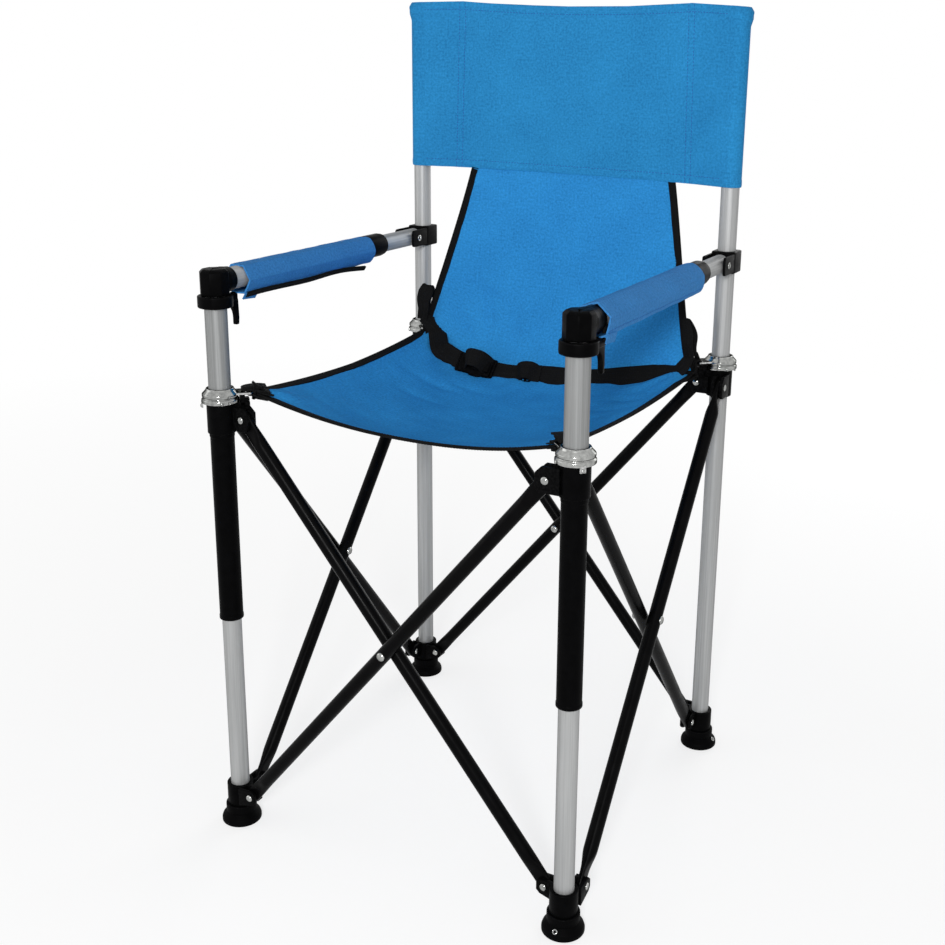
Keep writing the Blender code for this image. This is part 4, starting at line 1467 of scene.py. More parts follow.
@dataclass
class Latch(Assembly):
    """The ring under an elbow, with the finger lever that hangs behind it."""

    where: Side
    ring_r: float = 0.019
    ring_edge: float = 0.0016
    height: float = 0.013
    lever_out: float = 0.006
    lever_w: float = 0.0055
    lever_t: float = 0.005
    lever_back: float = 0.0425
    lever_l: float = 0.027
    arch_r: float = 0.019
    part = "latch"

    def skin(self) -> Shell:
        """The ring, its ear and the lever.

        Returns:
            The latch in place.
        """
        top, back, w = SIZES.latch_top, self.lever_back, self.lever_w
        bottom, ear_top = top - self.height, top - 0.003
        front, tip, shift = back - self.lever_t, bottom - self.lever_l, self.where.value * self.lever_out
        r, start, low = self.arch_r, front - self.arch_r, bottom + 0.0015
        arch = [(start + r * sin(t), bottom - r * (1 - cos(t))) for t in np.linspace(0, pi / 2, 9)]
        outline = [(start - 0.004, low), *arch, (front, tip), (back, tip), (back + 0.0008, tip + 0.008),
                   (back, bottom), (back - 0.002, ear_top), (start - 0.004, ear_top)]
        lever = plate(rounded(outline, 0.0014, steps=3), -w / 2, w / 2, 0.0010)
        ear = block((shift - w, 0.014, low), (shift + w, back - 0.0035, ear_top - 0.001), 0.002, 0.0010)
        body = pipe(self.ring_r, SIZES.outer_bore_r, bottom, top, self.ring_edge)
        return (body + lever.moved(QUARTER).at(shift, 0, 0) + ear).at(self.where.x, -SIZES.half, 0)

    def build(self) -> None:
        """Makes the latch."""
        self.place("latch_lever", self.skin(), PLASTIC, "latch_ring")


@dataclass
class Armrest(Assembly):
    """One armrest: elbow, two telescoping tubes, bush and its fabric wrap."""

    where: Side
    elbow_r: float = 0.0162
    elbow_top: float = 0.6715
    socket_r: float = 0.0137
    socket_reach: float = 0.0225
    outer_start: float = -0.1977
    outer_end: float = 0.1123
    inner_start: float = -0.020
    inner_end: float = 0.191
    bush_low: float = 0.0760
    bush_l: float = 0.0420
    bush_r: float = 0.0146
    cover_start: float = -0.1765
    cover_end: float = 0.0830
    cover_corner_r: float = 0.0183
    cover_turn: float = 0.0
    cover_t: float = 0.0018
    cover_drop: float = 0.0026
    cover_soft: tuple[float, float] = (0.10, 0.72)
    cover_round: float = 0.955
    cover_wave: tuple[float, float] = (0.00030, 0.030)
    cover_seed: int = 11
    strip_end: float = 0.056
    strip_span: tuple[float, float] = (0.84, 1.16)
    strip_out: float = 0.0018
    strip_t: float = 0.0026
    flap_span: tuple[float, float] = (0.80, 1.30)
    flap_t: float = 0.0016
    seam_at: float = 0.72
    stitch: Stitch = Stitch(0.0034, 0.0003, BLUE_THREAD)
    part = "armrest"

    def on_axis(self, shell: Shell) -> Shell:
        """A skin drawn about the origin, moved to the arm tube's axis."""
        return shell.at(self.where.x, 0, SIZES.arm_axis_z)

    def elbow(self) -> Shell:
        """The faceted cup over the front tube and the socket of the arm tube.

        Returns:
            The elbow in place.
        """
        outline = rounded(self.elbow_r * circle(np.pi / 4 * (np.arange(8) + 0.5)), 0.0022, steps=3)
        base, top, reach = SIZES.latch_top + SIZES.gap, self.elbow_top, self.socket_reach
        rows = [(base + up, back) for up, back in ((0.0060, 0.0098), (0.0002, 0.0040), (0.0, 0.0034),
                                                   (0.0, 0.0012), (0.0003, 0.0004), (0.0011, 0.0))]
        rows += [(top - down, back) for down, back in ((0.0038, 0.0), (0.0030, 0.0004), (0.0007, 0.0027),
                                                       (0.0002, 0.0036), (0.0, 0.0048))]
        line = [(0.0150, 0.0), (0.0150, 0.0120), (0.0141, 0.0180), (self.socket_r, 0.0210),
                (self.socket_r, reach), (0.0126, reach), (0.0126, 0.0180)]
        socket = turned(rounded(line, 0.0012, closed=False)).moved(ALONG_Y).at(0, 0, SIZES.arm_axis_z)
        return (stacked(outline, rows) + socket).at(self.where.x, -SIZES.half, 0)

    def bush(self) -> Shell:
        """The stepped ring that guides the inner tube.

        Returns:
            The bush about Z.
        """
        low, high, r, neck = self.bush_low, self.bush_low + self.bush_l, self.bush_r, 0.0138
        wide, tight, shoulder = SIZES.outer_bore_r, SIZES.sliding_bore, self.outer_end + SIZES.gap
        return ring([(wide, low), (0.0136, low), (r, low + 0.0012), (r, high - 0.0052),
                     (neck, high - 0.0042), (neck, high), (tight, high), (tight, shoulder),
                     (wide, shoulder)], 0.0006)

    def wrap_line(self, y: float) -> Array:
        """The wrap's section: six-sided at the front and rounder towards the rear.

        Args:
            y: The place along the arm.

        Returns:
            Points in X and Z about the tube's axis.
        """
        sides = 120
        turns = 2 * np.pi * np.arange(sides) / sides
        sector = np.mod(turns - self.cover_turn, np.pi / 3) - np.pi / 6
        six_sided = self.cover_corner_r * cos(pi / 6) / np.cos(sector)
        soft = np.interp(y, (self.cover_start, self.cover_end), self.cover_soft)
        radius = six_sided + (self.cover_round * self.cover_corner_r - six_sided) * soft
        around, (tall, length) = circle(turns), self.cover_wave
        radius += tall * ripples(around[:, 0] * 0.02, around[:, 1] * 0.02 + y, length, self.cover_seed)
        return radius[:, None] * around - (0.0, self.cover_drop)

    def cover(self) -> Shell:
        """The fabric wrap, open at both ends.

        Returns:
            The wrap about the tube's axis.
        """
        stations = np.linspace(self.cover_start, self.cover_end, 64)
        rings, flat = [], []
        for depth, ys in ((0.0, stations), (self.cover_t, stations[::-1])):
            for y in ys:
                points = inset(self.wrap_line(y), depth)
                rings.append(level(points, y)[:, [0, 2, 1]])
                flat.append(level(np.linspace(0, 6 * self.cover_corner_r, len(points)), y))
        return loft(rings, Ends.RING, flat)

    def facet(self, t: float, out: float) -> Array:
        """A point over the facet where the wrap closes, on its right-hand side.

        Args:
            t: From 0 at the facet's upper corner to 1 at its lower one.
            out: Distance out from the facet.

        Returns:
            The point's x and z from the tube's axis.
        """
        high, low, normal = circle(self.cover_turn - pi * np.array((0, 1 / 3, 1 / 6)))
        return self.cover_corner_r * (high + (low - high) * t) + normal * out - (0.0, self.cover_drop)

    def band(self, start: float, end: float, span: tuple[float, float], out: float, thick: float) -> Shell:
        """A flat band under the wrap, along the arm.

        Args:
            start: Where it starts in Y.
            end: Where it ends.
            span: Its two edges, as places on the closing facet.
            out: Distance out from the facet.
            thick: Its thickness.

        Returns:
            The band about the tube's axis.
        """
        (x0, z0), (x1, z1) = (self.facet(t, out) for t in span)
        ys = np.linspace(start, end, 40)
        wave = 0.0006 * ripples(ys, ys * 0, 0.09, 3) - 0.0030 * clamp((ys - end + 0.05) / 0.05) ** 2
        path = np.column_stack((np.full_like(ys, (x0 + x1) / 2), ys, (z0 + z1) / 2 + wave))
        return strap(path, np.array((x1 - x0, 0.0, z1 - z0)), hypot(x1 - x0, z1 - z0), thick)

    def seam(self) -> Array:
        """The row of stitches along the wrap.

        Returns:
            Points of the row, in place.
        """
        row, spot = [], self.facet(self.seam_at, 0.0)
        for y in np.linspace(self.cover_start + 0.003, self.cover_end - 0.003, 60):
            line = self.wrap_line(y)
            x, z = line[np.argmin(np.linalg.norm(line - spot, axis=1))]
            row.append((x * 1.012 + self.where.x, y, z + SIZES.arm_axis_z))
        return np.array(row)

    def build(self) -> None:
        """Makes the armrest's pieces."""
        start = self.cover_start
        self.place("elbow_cup", self.elbow(), PLASTIC, "elbow")
        outer = pipe(SIZES.outer_tube_r, SIZES.sliding_bore, self.outer_start, self.outer_end)
        inner = pipe(SIZES.tube_r, SIZES.tube_r - SIZES.tube_wall, self.inner_start, self.inner_end)
        self.place("arm_front_tube", self.on_axis(outer.moved(ALONG_Y)), ARM_ALUMINIUM, "arm_outer_tube")
        self.place("arm_rear_tube", self.on_axis(inner.moved(ALONG_Y)), ARM_ALUMINIUM, "arm_inner_tube")
        self.place("guide_bush", self.on_axis(self.bush().moved(ALONG_Y)), PLASTIC, "arm_bush")
        wrap = self.on_axis(self.cover())
        wrap = self.place("arm_wrap", wrap, ARM_CANVAS, "arm_cover", sharp=CANVAS_SHARP)
        strip = self.band(start + 0.001, self.strip_end, self.strip_span, self.strip_out, self.strip_t)
        closing = self.place("closing_strip", self.on_axis(strip), STRAP)
        flap = self.band(start - 0.001, start + 0.020, self.flap_span, 0.0004, self.flap_t)
        flap = self.place("wrap_flap", self.on_axis(flap), ARM_CANVAS)
        sewn = self.stitches("wrap_stitches", [self.seam()], self.stitch)


ARM_FITS: dict[Side, dict[str, object]] = {
    Side.LEFT: {"outer_end": 0.1010, "bush_low": 0.0650, "cover_end": 0.0715},
    Side.RIGHT: {"socket_reach": 0.034, "cover_start": -0.1830, "cover_corner_r": 0.0198,
                 "cover_turn": radians(18), "cover_seed": 23, "strip_span": (0.52, 0.90),
                 "strip_out": -0.0046}}


@dataclass
class ArmBracket(Assembly):
    """The clamp on a rear post that the arm tube turns in."""

    where: Side
    half_w: float = 0.0150
    height: float = 0.026
    ear_in: float = 0.0115
    ear_out: float = 0.0145
    reach: float = 0.048
    nose: float = 0.011
    rivet: Rivet = Rivet(RivetHead.EYELET, 0.0042, 0.0012)
    part = "arm_bracket"

    def skin(self) -> Shell:
        """A squarish block round the post, two forward ears and a lug behind.

        Returns:
            The bracket in place.
        """
        half_h, w, nose, front = self.height / 2, self.half_w, self.nose, -self.reach
        made = prism(rounded(oblong(-w, -w, w, w), 0.0045), -half_h, half_h, 0.0014)
        shape = rounded([(0.0, -nose), (0.0, nose), (front, nose), (front, -nose)], 0.0042, steps=5)
        made += plate(shape, self.ear_in, self.ear_out) + plate(shape, -self.ear_out, -self.ear_in)
        made += block((0.012, -0.0065, -0.0085), (0.0200, 0.0065, 0.0085), 0.0016, 0.0012)
        made += block((0.0135, -0.0100, 0.0040), (0.0182, 0.0100, 0.0110), 0.0014, 0.0010)
        return made.moved(QUARTER).at(self.where.x, SIZES.half, SIZES.arm_axis_z)

    def build(self) -> None:
        """Makes the bracket and its rivet."""
        self.place("post_clamp", self.skin(), PLASTIC, "arm_bracket")
        pivot, way = Vector((self.where.x, SIZES.arm_pivot_y, SIZES.arm_axis_z)), Vector((1, 0, 0))
        heads = [(pivot + sign * (self.ear_out + 0.0001) * way, sign * way) for sign in (-1, 1)]
        self.rivets("clamp_rivets", heads, self.rivet, "arm_rivet")


@dataclass
class Backrest(Assembly):
    """The backrest cloth: a middle that hangs between two pockets on the rear posts."""

    seam_x: float = 0.160
    seam_lean: float = 0.0055
    split_x: float = 0.2045
    tilt: float = 0.0105
    end_drop: tuple[float, float] = (0.0025, 0.0045)
    set_back: float = 0.004
    sag: float = 0.010
    top_dip: float = 0.005
    thick: float = 0.0025
    layer: float = 0.0013
    plain_r: float = 0.0128
    bulge_r: float = 0.0153
    bulge_low: float = 0.935
    bulge_z: float = 0.944
    crown_z: float = 0.9525
    crown_in: float = 0.003
    hem: float = 0.0098
    rows: int = 74
    waves: tuple[Triple, ...] = ((0.0007, 0.35, 0.085), (0.0003, 1.0, 0.026))
    pucker: Triple = (0.0006, 0.006, 0.012)
    gather: Triple = (0.0008, 0.016, 0.018)
    groove: tuple[float, float] = (0.0007, 0.0022)
    seed: int = 41
    stitch: Stitch = Stitch(0.0040, 0.00042, BLUE_THREAD)
    prefix = "backrest_"
    body = "rear_left_leg"

    def centre(self, x: Array | float) -> Array:
        """How far back the cloth's middle lies at x.

        Args:
            x: Place across the chair.

        Returns:
            The place in Y.
        """
        share = np.minimum(np.abs(x) / self.seam_x, 1.0)
        past = clamp((np.abs(x) - self.seam_x) / (SIZES.half - self.seam_x))
        return SIZES.half + self.set_back * (1 - past) + self.sag * (1 - share * share)

    def pocket_r(self, z: float) -> float:
        """The pocket's outer radius at a height."""
        radii = self.plain_r, self.bulge_r, self.bulge_r, self.bulge_r - self.crown_in
        return float(np.interp(z, (self.bulge_low, self.bulge_z, self.crown_z, SIZES.panel_top), radii))

    def lean(self, r: float) -> float:
        """The angle at which the cloth leaves a pocket of a radius."""
        return asin((r - self.thick / 2) / (SIZES.half - self.seam_x))

    def rise(self, z: Array | float) -> Array:
        """The share of the cloth's height at z."""
        return (z - SIZES.panel_bottom) / SIZES.panel_height

    def hem_swell(self, z: float) -> float:
        """How much thicker the cloth is where its hems are turned in.

        Args:
            z: The height.

        Returns:
            What each face is moved out.
        """
        edge, hem = min(z - SIZES.panel_bottom, SIZES.panel_top - z), self.hem
        return 0.0007 * bell(edge - hem * 0.5, hem * 0.42, 4) - 0.0003 * bell(edge - hem, 0.0014)

    def drop(self, x: Array | float, z: Array | float) -> Array:
        """How far the cloth dips between the posts, most at its top edge."""
        share = np.minimum(np.abs(x) / self.seam_x, 1.0)
        return self.top_dip * (1 - share * share) * self.rise(z)

    def settled(self, points: Array) -> Array:
        """The cloth as it hangs: a little askew, its seams closer at the top and its corners pulled down.

        Args:
            points: Points of the cloth drawn square.

        Returns:
            The moved points.
        """
        x, y, z = points.T
        side, rise = np.abs(x), self.rise(z)
        reach = np.minimum(side / self.seam_x, clamp((self.split_x - side) / (self.split_x - self.seam_x)))
        past = clamp((side - self.seam_x) / (SIZES.half + self.bulge_r - self.seam_x))
        fall = np.where(x < 0, *self.end_drop) * past * clamp(rise) ** 3
        lean = np.sign(x) * self.seam_lean * rise * reach
        return np.column_stack((x - lean, y, z - fall - self.tilt * x))

    def relief(self, x: Array, z: float) -> Array:
        """Soft waves in the cloth and puckers beside its seams.

        Args:
            x: Places across the chair.
            z: The height.

        Returns:
            How far each place lies back.
        """
        side, height, seed = np.abs(x), np.full_like(x, z), self.seed
        edge = min(z - SIZES.panel_bottom, SIZES.panel_top - z)
        waves = sum(tall * ripples(x, height * squeeze, length, seed + i)
                    for i, (tall, squeeze, length) in enumerate(self.waves))
        tall, width, length = self.pucker
        pucker = tall * bell(side - self.seam_x, width) * ripples(height, x * 0.2, length, seed + 2)
        tall, width, length = self.gather
        gather = tall * bell(edge, width) * ripples(x, height * 0.1, length, seed + 3)
        groove = self.groove[0] * bell(side - self.seam_x, self.groove[1])
        return (waves + gather) * clamp((self.split_x - side) / 0.03) + pucker - groove

    def faces(self, x: Array, z: float) -> list[Array]:
        """The outer front and back of the cloth.

        Args:
            x: Places across the chair.
            z: The height.

        Returns:
            The front and the back, in Y.
        """
        r, side = self.pocket_r(z), np.abs(x)
        lean = self.lean(r)
        share = clamp((side - self.seam_x) / (SIZES.half - r * sin(lean) - self.seam_x))
        swell = self.hem_swell(z) * clamp((SIZES.half - 0.003 - side) / 0.02)
        shift = self.relief(x, z)
        faces = []
        for sign in (-1, 1):
            seam = self.centre(self.seam_x) + sign * self.thick / 2
            past = seam + (SIZES.half + sign * r * cos(lean) - seam) * share
            face = np.where(side <= self.seam_x, self.centre(x) + sign * self.thick / 2, past)
            faces.append(face + sign * swell + shift)
        return faces

    def pleat(self, x: Array, z: float) -> tuple[Array, Array]:
        """The inner front and back of the doubled cloth."""
        front, back = self.faces(x, z)
        return np.minimum(front + self.layer, back - self.layer - 0.0001), back - self.layer

    def heights(self) -> Array:
        """Rows of the cloth, closer together at the hems."""
        share = np.linspace(0, 1, self.rows)
        return SIZES.panel_bottom + SIZES.panel_height * (share - 0.09 * np.sin(2 * np.pi * share))

    def middle(self) -> Shell:
        """The cloth between the posts, doubled past each seam.

        Returns:
            The cloth in place.
        """
        past = np.linspace(self.seam_x, self.split_x, 14)[1:]
        xs = np.concatenate((-past[::-1], np.linspace(-self.seam_x, self.seam_x, 121), past))
        notch = np.linspace(self.seam_x + 0.004, self.split_x, 9)
        x = np.concatenate((xs, notch[::-1], notch, xs[::-1], -notch[::-1], -notch))
        rings, flat = [], []
        for z in self.heights():
            front, back = self.faces(xs, z)
            (right, right_back), (left, left_back) = self.pleat(notch, z), self.pleat(-notch[::-1], z)
            y = np.concatenate((front, right[::-1], right_back, back[::-1], left_back, left[::-1]))
            rings.append(self.settled(np.column_stack((x, y, z - self.drop(x, z)))))
            flat.append(level(x, z))
        return loft(rings, flat=flat)

    def pocket(self, sign: int) -> Shell:
        """The part of the cloth that wraps a post and the cap over its head.

        Args:
            sign: The pocket's side in X.

        Returns:
            The pocket in place.
        """
        rings, flat = [], []
        for z in self.heights():
            outer = self.pocket_line(z, 0.0)
            line = np.vstack((outer, self.pocket_line(z, self.layer)[::-1]))
            travel = travelled(outer)
            rings.append(level(line * (sign, 1), z))
            flat.append(level(np.concatenate((travel, travel[::-1])) + self.split_x, z))
        rows = ((-0.0034, 0.0006), (-0.0006, 0.0004), (0.0, 0.0012), (0.0002, 0.0030))
        lid = stacked(outer * (sign, 1), [(SIZES.panel_top + up, back) for up, back in rows])
        lid.uv = lid.points[:, :2]
        both = loft(rings, flat=flat) + lid
        both.points = self.settled(both.points)
        return both

    def pocket_line(self, z: float, back: float) -> Array:
        """The right pocket's section.

        Args:
            z: The height.
            back: How far the section is drawn in.

        Returns:
            Points in X and Y.
        """
        r = self.pocket_r(z) + max(self.hem_swell(z), 0.0) * 0.6
        reach = pi / 2 + self.lean(r)
        arc = SIZES.half + (r - back) * circle(np.linspace(-reach, reach, 41))
        front, rear = self.faces(np.array([self.split_x]), z)
        return np.vstack(((self.split_x, front[0] + back), arc, (self.split_x, rear[0] - back)))

    def seam_rows(self) -> list[Array]:
        """Lines of stitching: two down each seam and one along each hem, in front and behind.

        Returns:
            Points of each line.
        """
        lines = []
        heights = np.linspace(SIZES.panel_bottom + 0.002, SIZES.panel_top - 0.003, 90)
        for sign in (-1, 1):
            for x in (self.seam_x - 0.0042, self.seam_x + 0.0032):
                faces = np.array([np.ravel(self.faces(np.array([sign * x]), z)) for z in heights])
                xs, zs = np.full_like(heights, sign * x), heights - self.drop(x, heights)
                lines += [np.column_stack((xs, y, zs)) for y in faces.T]
        xs = np.linspace(-self.split_x + 0.002, self.split_x - 0.002, 160)
        for z in (SIZES.panel_bottom + self.hem, SIZES.panel_top - self.hem):
            lines += [np.column_stack((xs, y, z - self.drop(xs, z))) for y in self.faces(xs, z)]
        return [self.settled(line) for line in lines]

    def build(self) -> None:
        """Makes the backrest's cloth and stitches."""
        cloth = self.place("cloth", self.middle(), BACK_CANVAS, "panel", "", SOFT_SHARP)
        left = self.place("left_pocket", self.pocket(-1), BACK_CANVAS, "", "", SOFT_SHARP)
        right = self.place("right_pocket", self.pocket(1), BACK_CANVAS, "", "rear_right_leg", SOFT_SHARP)
        sewn = self.stitches("stitches", self.seam_rows(), self.stitch)
        self.crumple((cloth, sewn), -self.split_x, SIZES.kept(self.split_x))


class SeatPanel(Spot):
    """The seat cloth's panels: body, first and last row, and the rows and points of the side bindings."""

    BACK = ("rear_left_leg", -0.022, 1.0, -0.012, 0.995, 90)
    REAR = ("seat_rear", 1.0, 1.5, 1.005, 1.5, 50)
    FRONT = ("seat_front", 1.5, 2.0, 1.5, 1.99, 50)


def paired(u: Array | float, v: Array | float) -> tuple[Array, Array]:
    """Two arrays or numbers as arrays of one shape."""
    return np.broadcast_arrays(np.asarray(u, float), np.asarray(v, float))


def along_and_off(a: Array, b: Array, start: Array, angle: tuple[float, float]) -> tuple[Array, Array]:
    """Distances of flat places along and beside a line from a start, in a direction."""
    x, y = a - start[0], b - start[1]
    return x * angle[0] + y * angle[1], y * angle[0] - x * angle[1]


@dataclass
class SeatCloth(Assembly):
    """The hanging seat: row 0 is its seam with the backrest, row 1 the crease, row 2 the front edge."""

    backrest: Backrest
    thick: float = 0.0020
    top_half: float = 0.141
    corner: float = 0.191
    corner_z: float = 0.5256
    back_anchor: float = 0.179
    back_keep: float = 0.073
    shape_rows: tuple[float, ...] = (-0.05, 0.0, 0.6, 1.0, 1.5, 2.0)
    left_lift: tuple[float, ...] = (0.0, 0.0, 0.0020, 0.0100, 0.0060, 0.0075)
    right_lift: tuple[float, ...] = (0.0, 0.0, -0.0010, -0.0055, -0.0015, 0.0045)
    low_z: float = 0.4765
    side_z: float = 0.5165
    crease_rise: float = 0.019
    front_rise: float = 0.025
    crease_y: float = 0.152
    front_y: float = -0.174
    side_inset: float = 0.026
    corner_inset: float = 0.024
    edge_bow: float = 0.046
    left_fullness: tuple[float, ...] = (2.2, 2.2, 2.4, 3.6, 2.6, 2.2)
    right_fullness: tuple[float, ...] = (2.2, 2.2, 2.2, 2.0, 2.2, 2.2)
    tape_w: float = 0.0096
    tape_t: float = 0.0034
    columns: int = 111
    stitch: Stitch = Stitch(0.0036, 0.0003, BLACK_THREAD)
    waves: tuple[Triple, ...] = ((0.0011, 0.12, 5), (0.00035, 0.035, 6))
    fold: tuple[float, ...] = (0.0008, 0.03, 0.028, 7)
    quiet: float = 0.06
    pull_aim: tuple[float, float] = (0.15, 1.20)
    pull_l: tuple[float, float] = (0.05, 0.12)
    pull_w: tuple[float, float] = (0.005, 0.010)
    pull_h: tuple[float, float] = (0.0016, 0.0034)
    crease_w: float = 0.0065
    creases: tuple[tuple[float, ...], ...] = (
        (-0.92, 0.78, 0.35, 0.060, 0.0038), (-0.80, 0.60, 0.44, 0.070, 0.0032),
        (-0.62, 0.62, 1.40, 0.075, 0.0040), (-0.38, 0.68, 1.31, 0.060, 0.0030),
        (0.55, 0.80, 1.92, 0.045, 0.0028), (0.46, 1.25, 0.44, 0.080, 0.0026),
        (0.38, 1.35, 0.35, 0.085, 0.0024), (0.55, 1.16, 0.49, 0.070, 0.0022),
        (0.30, 1.20, 0.26, 0.070, 0.0018), (-0.88, 1.28, -0.17, 0.100, 0.0022),
        (-0.82, 1.42, -0.14, 0.090, 0.0018), (-0.60, 1.18, 0.09, 0.080, 0.0018))
    lines: list[Array] = field(default_factory=list)
    prefix = "seat_"

    def middle(self, v: Array) -> tuple[Array, Array]:
        """The cloth's middle line.

        Args:
            v: Rows.

        Returns:
            The places in Y and in Z.
        """
        top_y, top_z = float(self.backrest.centre(0.0)), SIZES.panel_bottom - SIZES.gap
        up, along = np.clip(v, None, 1.0), np.clip(v - 1, 0.0, None)
        rise = np.where(along < 0.5, self.crease_rise, self.front_rise)
        y_back = top_y + (self.crease_y - top_y) * np.sign(up) * np.abs(up) ** 3
        z_back = top_z + (self.low_z + self.crease_rise - top_z) * up
        y_seat = self.crease_y + (self.front_y - self.crease_y) * along
        z_seat = self.low_z + rise * np.abs(2 * along - 1) ** 2.4
        return np.where(v <= 1, y_back, y_seat), np.where(v <= 1, z_back, z_seat)

    def edge(self, v: Array) -> list[Array]:
        """The cloth's right edge, drawn level.

        Args:
            v: Rows.

        Returns:
            The places in X, Y and Z.
        """
        top_y, top_z = float(self.backrest.centre(self.top_half)), SIZES.panel_bottom - SIZES.gap
        up = np.clip(v, None, 1.0)
        left = np.clip(1 - up, 0, None)
        a = 2 * (np.clip(v, 1.0, None) - 1) - 1
        back = (self.corner + (self.top_half - self.corner) * left**0.95,
                top_y + (self.corner - top_y) * up - self.edge_bow * up * up * np.sqrt(left),
                top_z + (self.corner_z - top_z) * up)
        seat = (SIZES.half - self.side_inset + (self.side_inset - self.corner_inset) * a * a,
                -self.corner * a, self.side_z + (self.corner_z - self.side_z) * a * a)
        return [np.where(v <= 1, *pair) for pair in zip(back, seat)]

    def smooth(self, u: Array | float, v: Array | float) -> Array:
        """The cloth's middle surface without its wrinkles.

        Args:
            u: Places across, from -1 to 1.
            v: Rows.

        Returns:
            The points.
        """
        u, v = paired(u, v)
        y, z = self.middle(v)
        edge_x, edge_y, edge_z = self.edge(v)
        shapes = (self.left_lift, self.right_lift), (self.left_fullness, self.right_fullness)
        lift, power = (np.where(u < 0, *(np.interp(v, self.shape_rows, side) for side in pair))
                       for pair in shapes)
        fall = np.abs(u) ** power
        return np.stack((u * edge_x, y + (edge_y - y) * fall, z + (edge_z + lift - z) * fall), axis=-1)

    def normal(self, u: Array | float, v: Array | float) -> Array:
        """The surface normal on the side that a child sits on.

        Args:
            u: Places across.
            v: Rows.

        Returns:
            The unit normals.
        """
        u, v = paired(u, v)
        step = 0.01
        across = self.smooth(np.minimum(u + step, 1), v) - self.smooth(np.maximum(u - step, -1), v)
        along = self.smooth(u, np.minimum(v + step, 2)) - self.smooth(u, np.maximum(v - step, 0))
        return unit(np.cross(along, across))

    def lifted(self, u: Array | float, v: Array | float, lift: Array | float) -> Array:
        """Points over the cloth without its wrinkles."""
        return self.smooth(u, v) + self.normal(u, v) * np.asarray(lift)[..., None]

    def flat(self, u: Array | float, v: Array | float) -> Array:
        """The flat places of cloth points, in metres.

        Args:
            u: Places across.
            v: Rows.

        Returns:
            The places across and along.
        """
        u, v = paired(u, v)
        rows = np.linspace(-0.05, 2, 206)
        travel = travelled(np.column_stack(self.middle(rows)))
        return np.stack((u * self.edge(v)[0], np.interp(v, rows, travel)), axis=-1)

    def pulls(self, a: Array, b: Array) -> Array:
        """Ridges that run in from the held corners, and creases across the cloth.

        Args:
            a: Flat places across.
            b: Flat places along.

        Returns:
            Their heights.
        """
        pulls = np.zeros_like(a)
        rng = np.random.default_rng(9)
        for row, forward in ((1.0, 1.0), (1.0, -1.0), (2.0, -1.0)):
            for side in (-1.0, 1.0):
                corner = self.flat(side * 0.99, row)
                for _ in range(4):
                    aim = rng.uniform(*self.pull_aim)
                    along, off = along_and_off(a, b, corner, (-side * cos(aim), forward * sin(aim)))
                    length = rng.uniform(*self.pull_l)
                    width = rng.uniform(*self.pull_w) * (1 + clamp(along / length))
                    fade = clamp(along / 0.012) * clamp(1 - along / length)
                    pulls += rng.uniform(*self.pull_h) * bell(off, width) * fade
        for side, row, aim, length, depth in self.creases:
            along, off = along_and_off(a, b, self.flat(side, row), (cos(aim), sin(aim)))
            pulls -= depth * bell(off, self.crease_w) * np.sin(np.pi * clamp(along / length))
        return pulls

    def surface(self, u: Array, v: Array, lift: float) -> Array:
        """The wrinkled cloth: slow waves, pulls from the corners and folds under the belt.

        Args:
            u: Places across.
            v: Rows.
            lift: Distance from the cloth's middle surface.

        Returns:
            The points.
        """
        a, b = np.moveaxis(self.flat(u, v), -1, 0)
        waves = sum(tall * ripples(a, b, length, seed) for tall, length, seed in self.waves)
        tall, width, length, seed = self.fold
        crease = self.flat(0.0, 1.0)[1]
        folds = tall * bell(b - crease - width, width) * ripples(a, b * 0.3, length, seed)
        edge = self.quiet
        quiet = clamp((1 - np.abs(u)) / edge) * clamp(v / edge) * clamp((2 - v) / edge)
        return self.lifted(u, v, (waves + self.pulls(a, b) + folds) * quiet + lift)

    def panel(self, kind: SeatPanel) -> Shell:
        """One of the three cloth panels as a closed slab.

        Args:
            kind: The panel.

        Returns:
            The panel in place.
        """
        first, last = kind.value[1:3]
        share = np.linspace(0, 1, 64 if kind is SeatPanel.BACK else 44)
        if kind is SeatPanel.BACK:
            share = 1 - (1 - share) ** 1.7
        if kind is SeatPanel.REAR:
            share = share**1.35
        u = np.linspace(-1, 1, self.columns)[None, :]
        v = (first + (last - first) * share)[:, None]
        top, bottom = (self.surface(u, v, side * self.thick / 2) for side in (1, -1))
        return quilt(top, bottom, self.flat(u, v))

    def tape(self, u: Array, v: Array, inner: Array, seed: int) -> Shell:
        """The binding folded over an edge of the cloth. It also notes the lines of its stitches.

        Args:
            u: Across place of each point of the edge.
            v: Row of each point.
            inner: A point inside the cloth beside each point.
            seed: Seed of the tape's uneven width.

        Returns:
            The tape as a closed skin.
        """
        path, normal = self.smooth(u, v), self.normal(u, v)
        inside = square_to(inner - path, tangents(path))
        travel = travelled(path)
        uneven = 1 + 0.05 * ripples(travel, travel * 0, 0.05, seed)
        end, turn_in = self.tape_w - 0.0020, self.tape_w - 0.0026
        line = np.array([(-0.0010, -0.50), (-0.0017, -0.34), (-0.0020, 0.0), (-0.0017, 0.34),
                         (-0.0010, 0.50), (0.0022, 0.52), (0.0052, 0.50), (turn_in, 0.50), (end, 0.36),
                         (end, -0.36), (turn_in, -0.50), (0.0052, -0.50), (0.0022, -0.52)])
        line *= (1, self.tape_t)
        around = travelled(line)
        rings, flat = [], []
        for i, spot in enumerate(path):
            reach = np.where(line[:, 0] > 0.003, line[:, 0] * uneven[i], line[:, 0])
            rings.append(spot + np.outer(reach, inside[i]) + np.outer(line[:, 1], normal[i]))
            flat.append(np.column_stack((np.full(len(line), travel[i]), around)))
        row = path + inside * self.tape_w * 0.62
        self.lines += [row + normal * side * self.tape_t / 2 for side in (-1, 1)]
        return loft(rings, flat=flat)

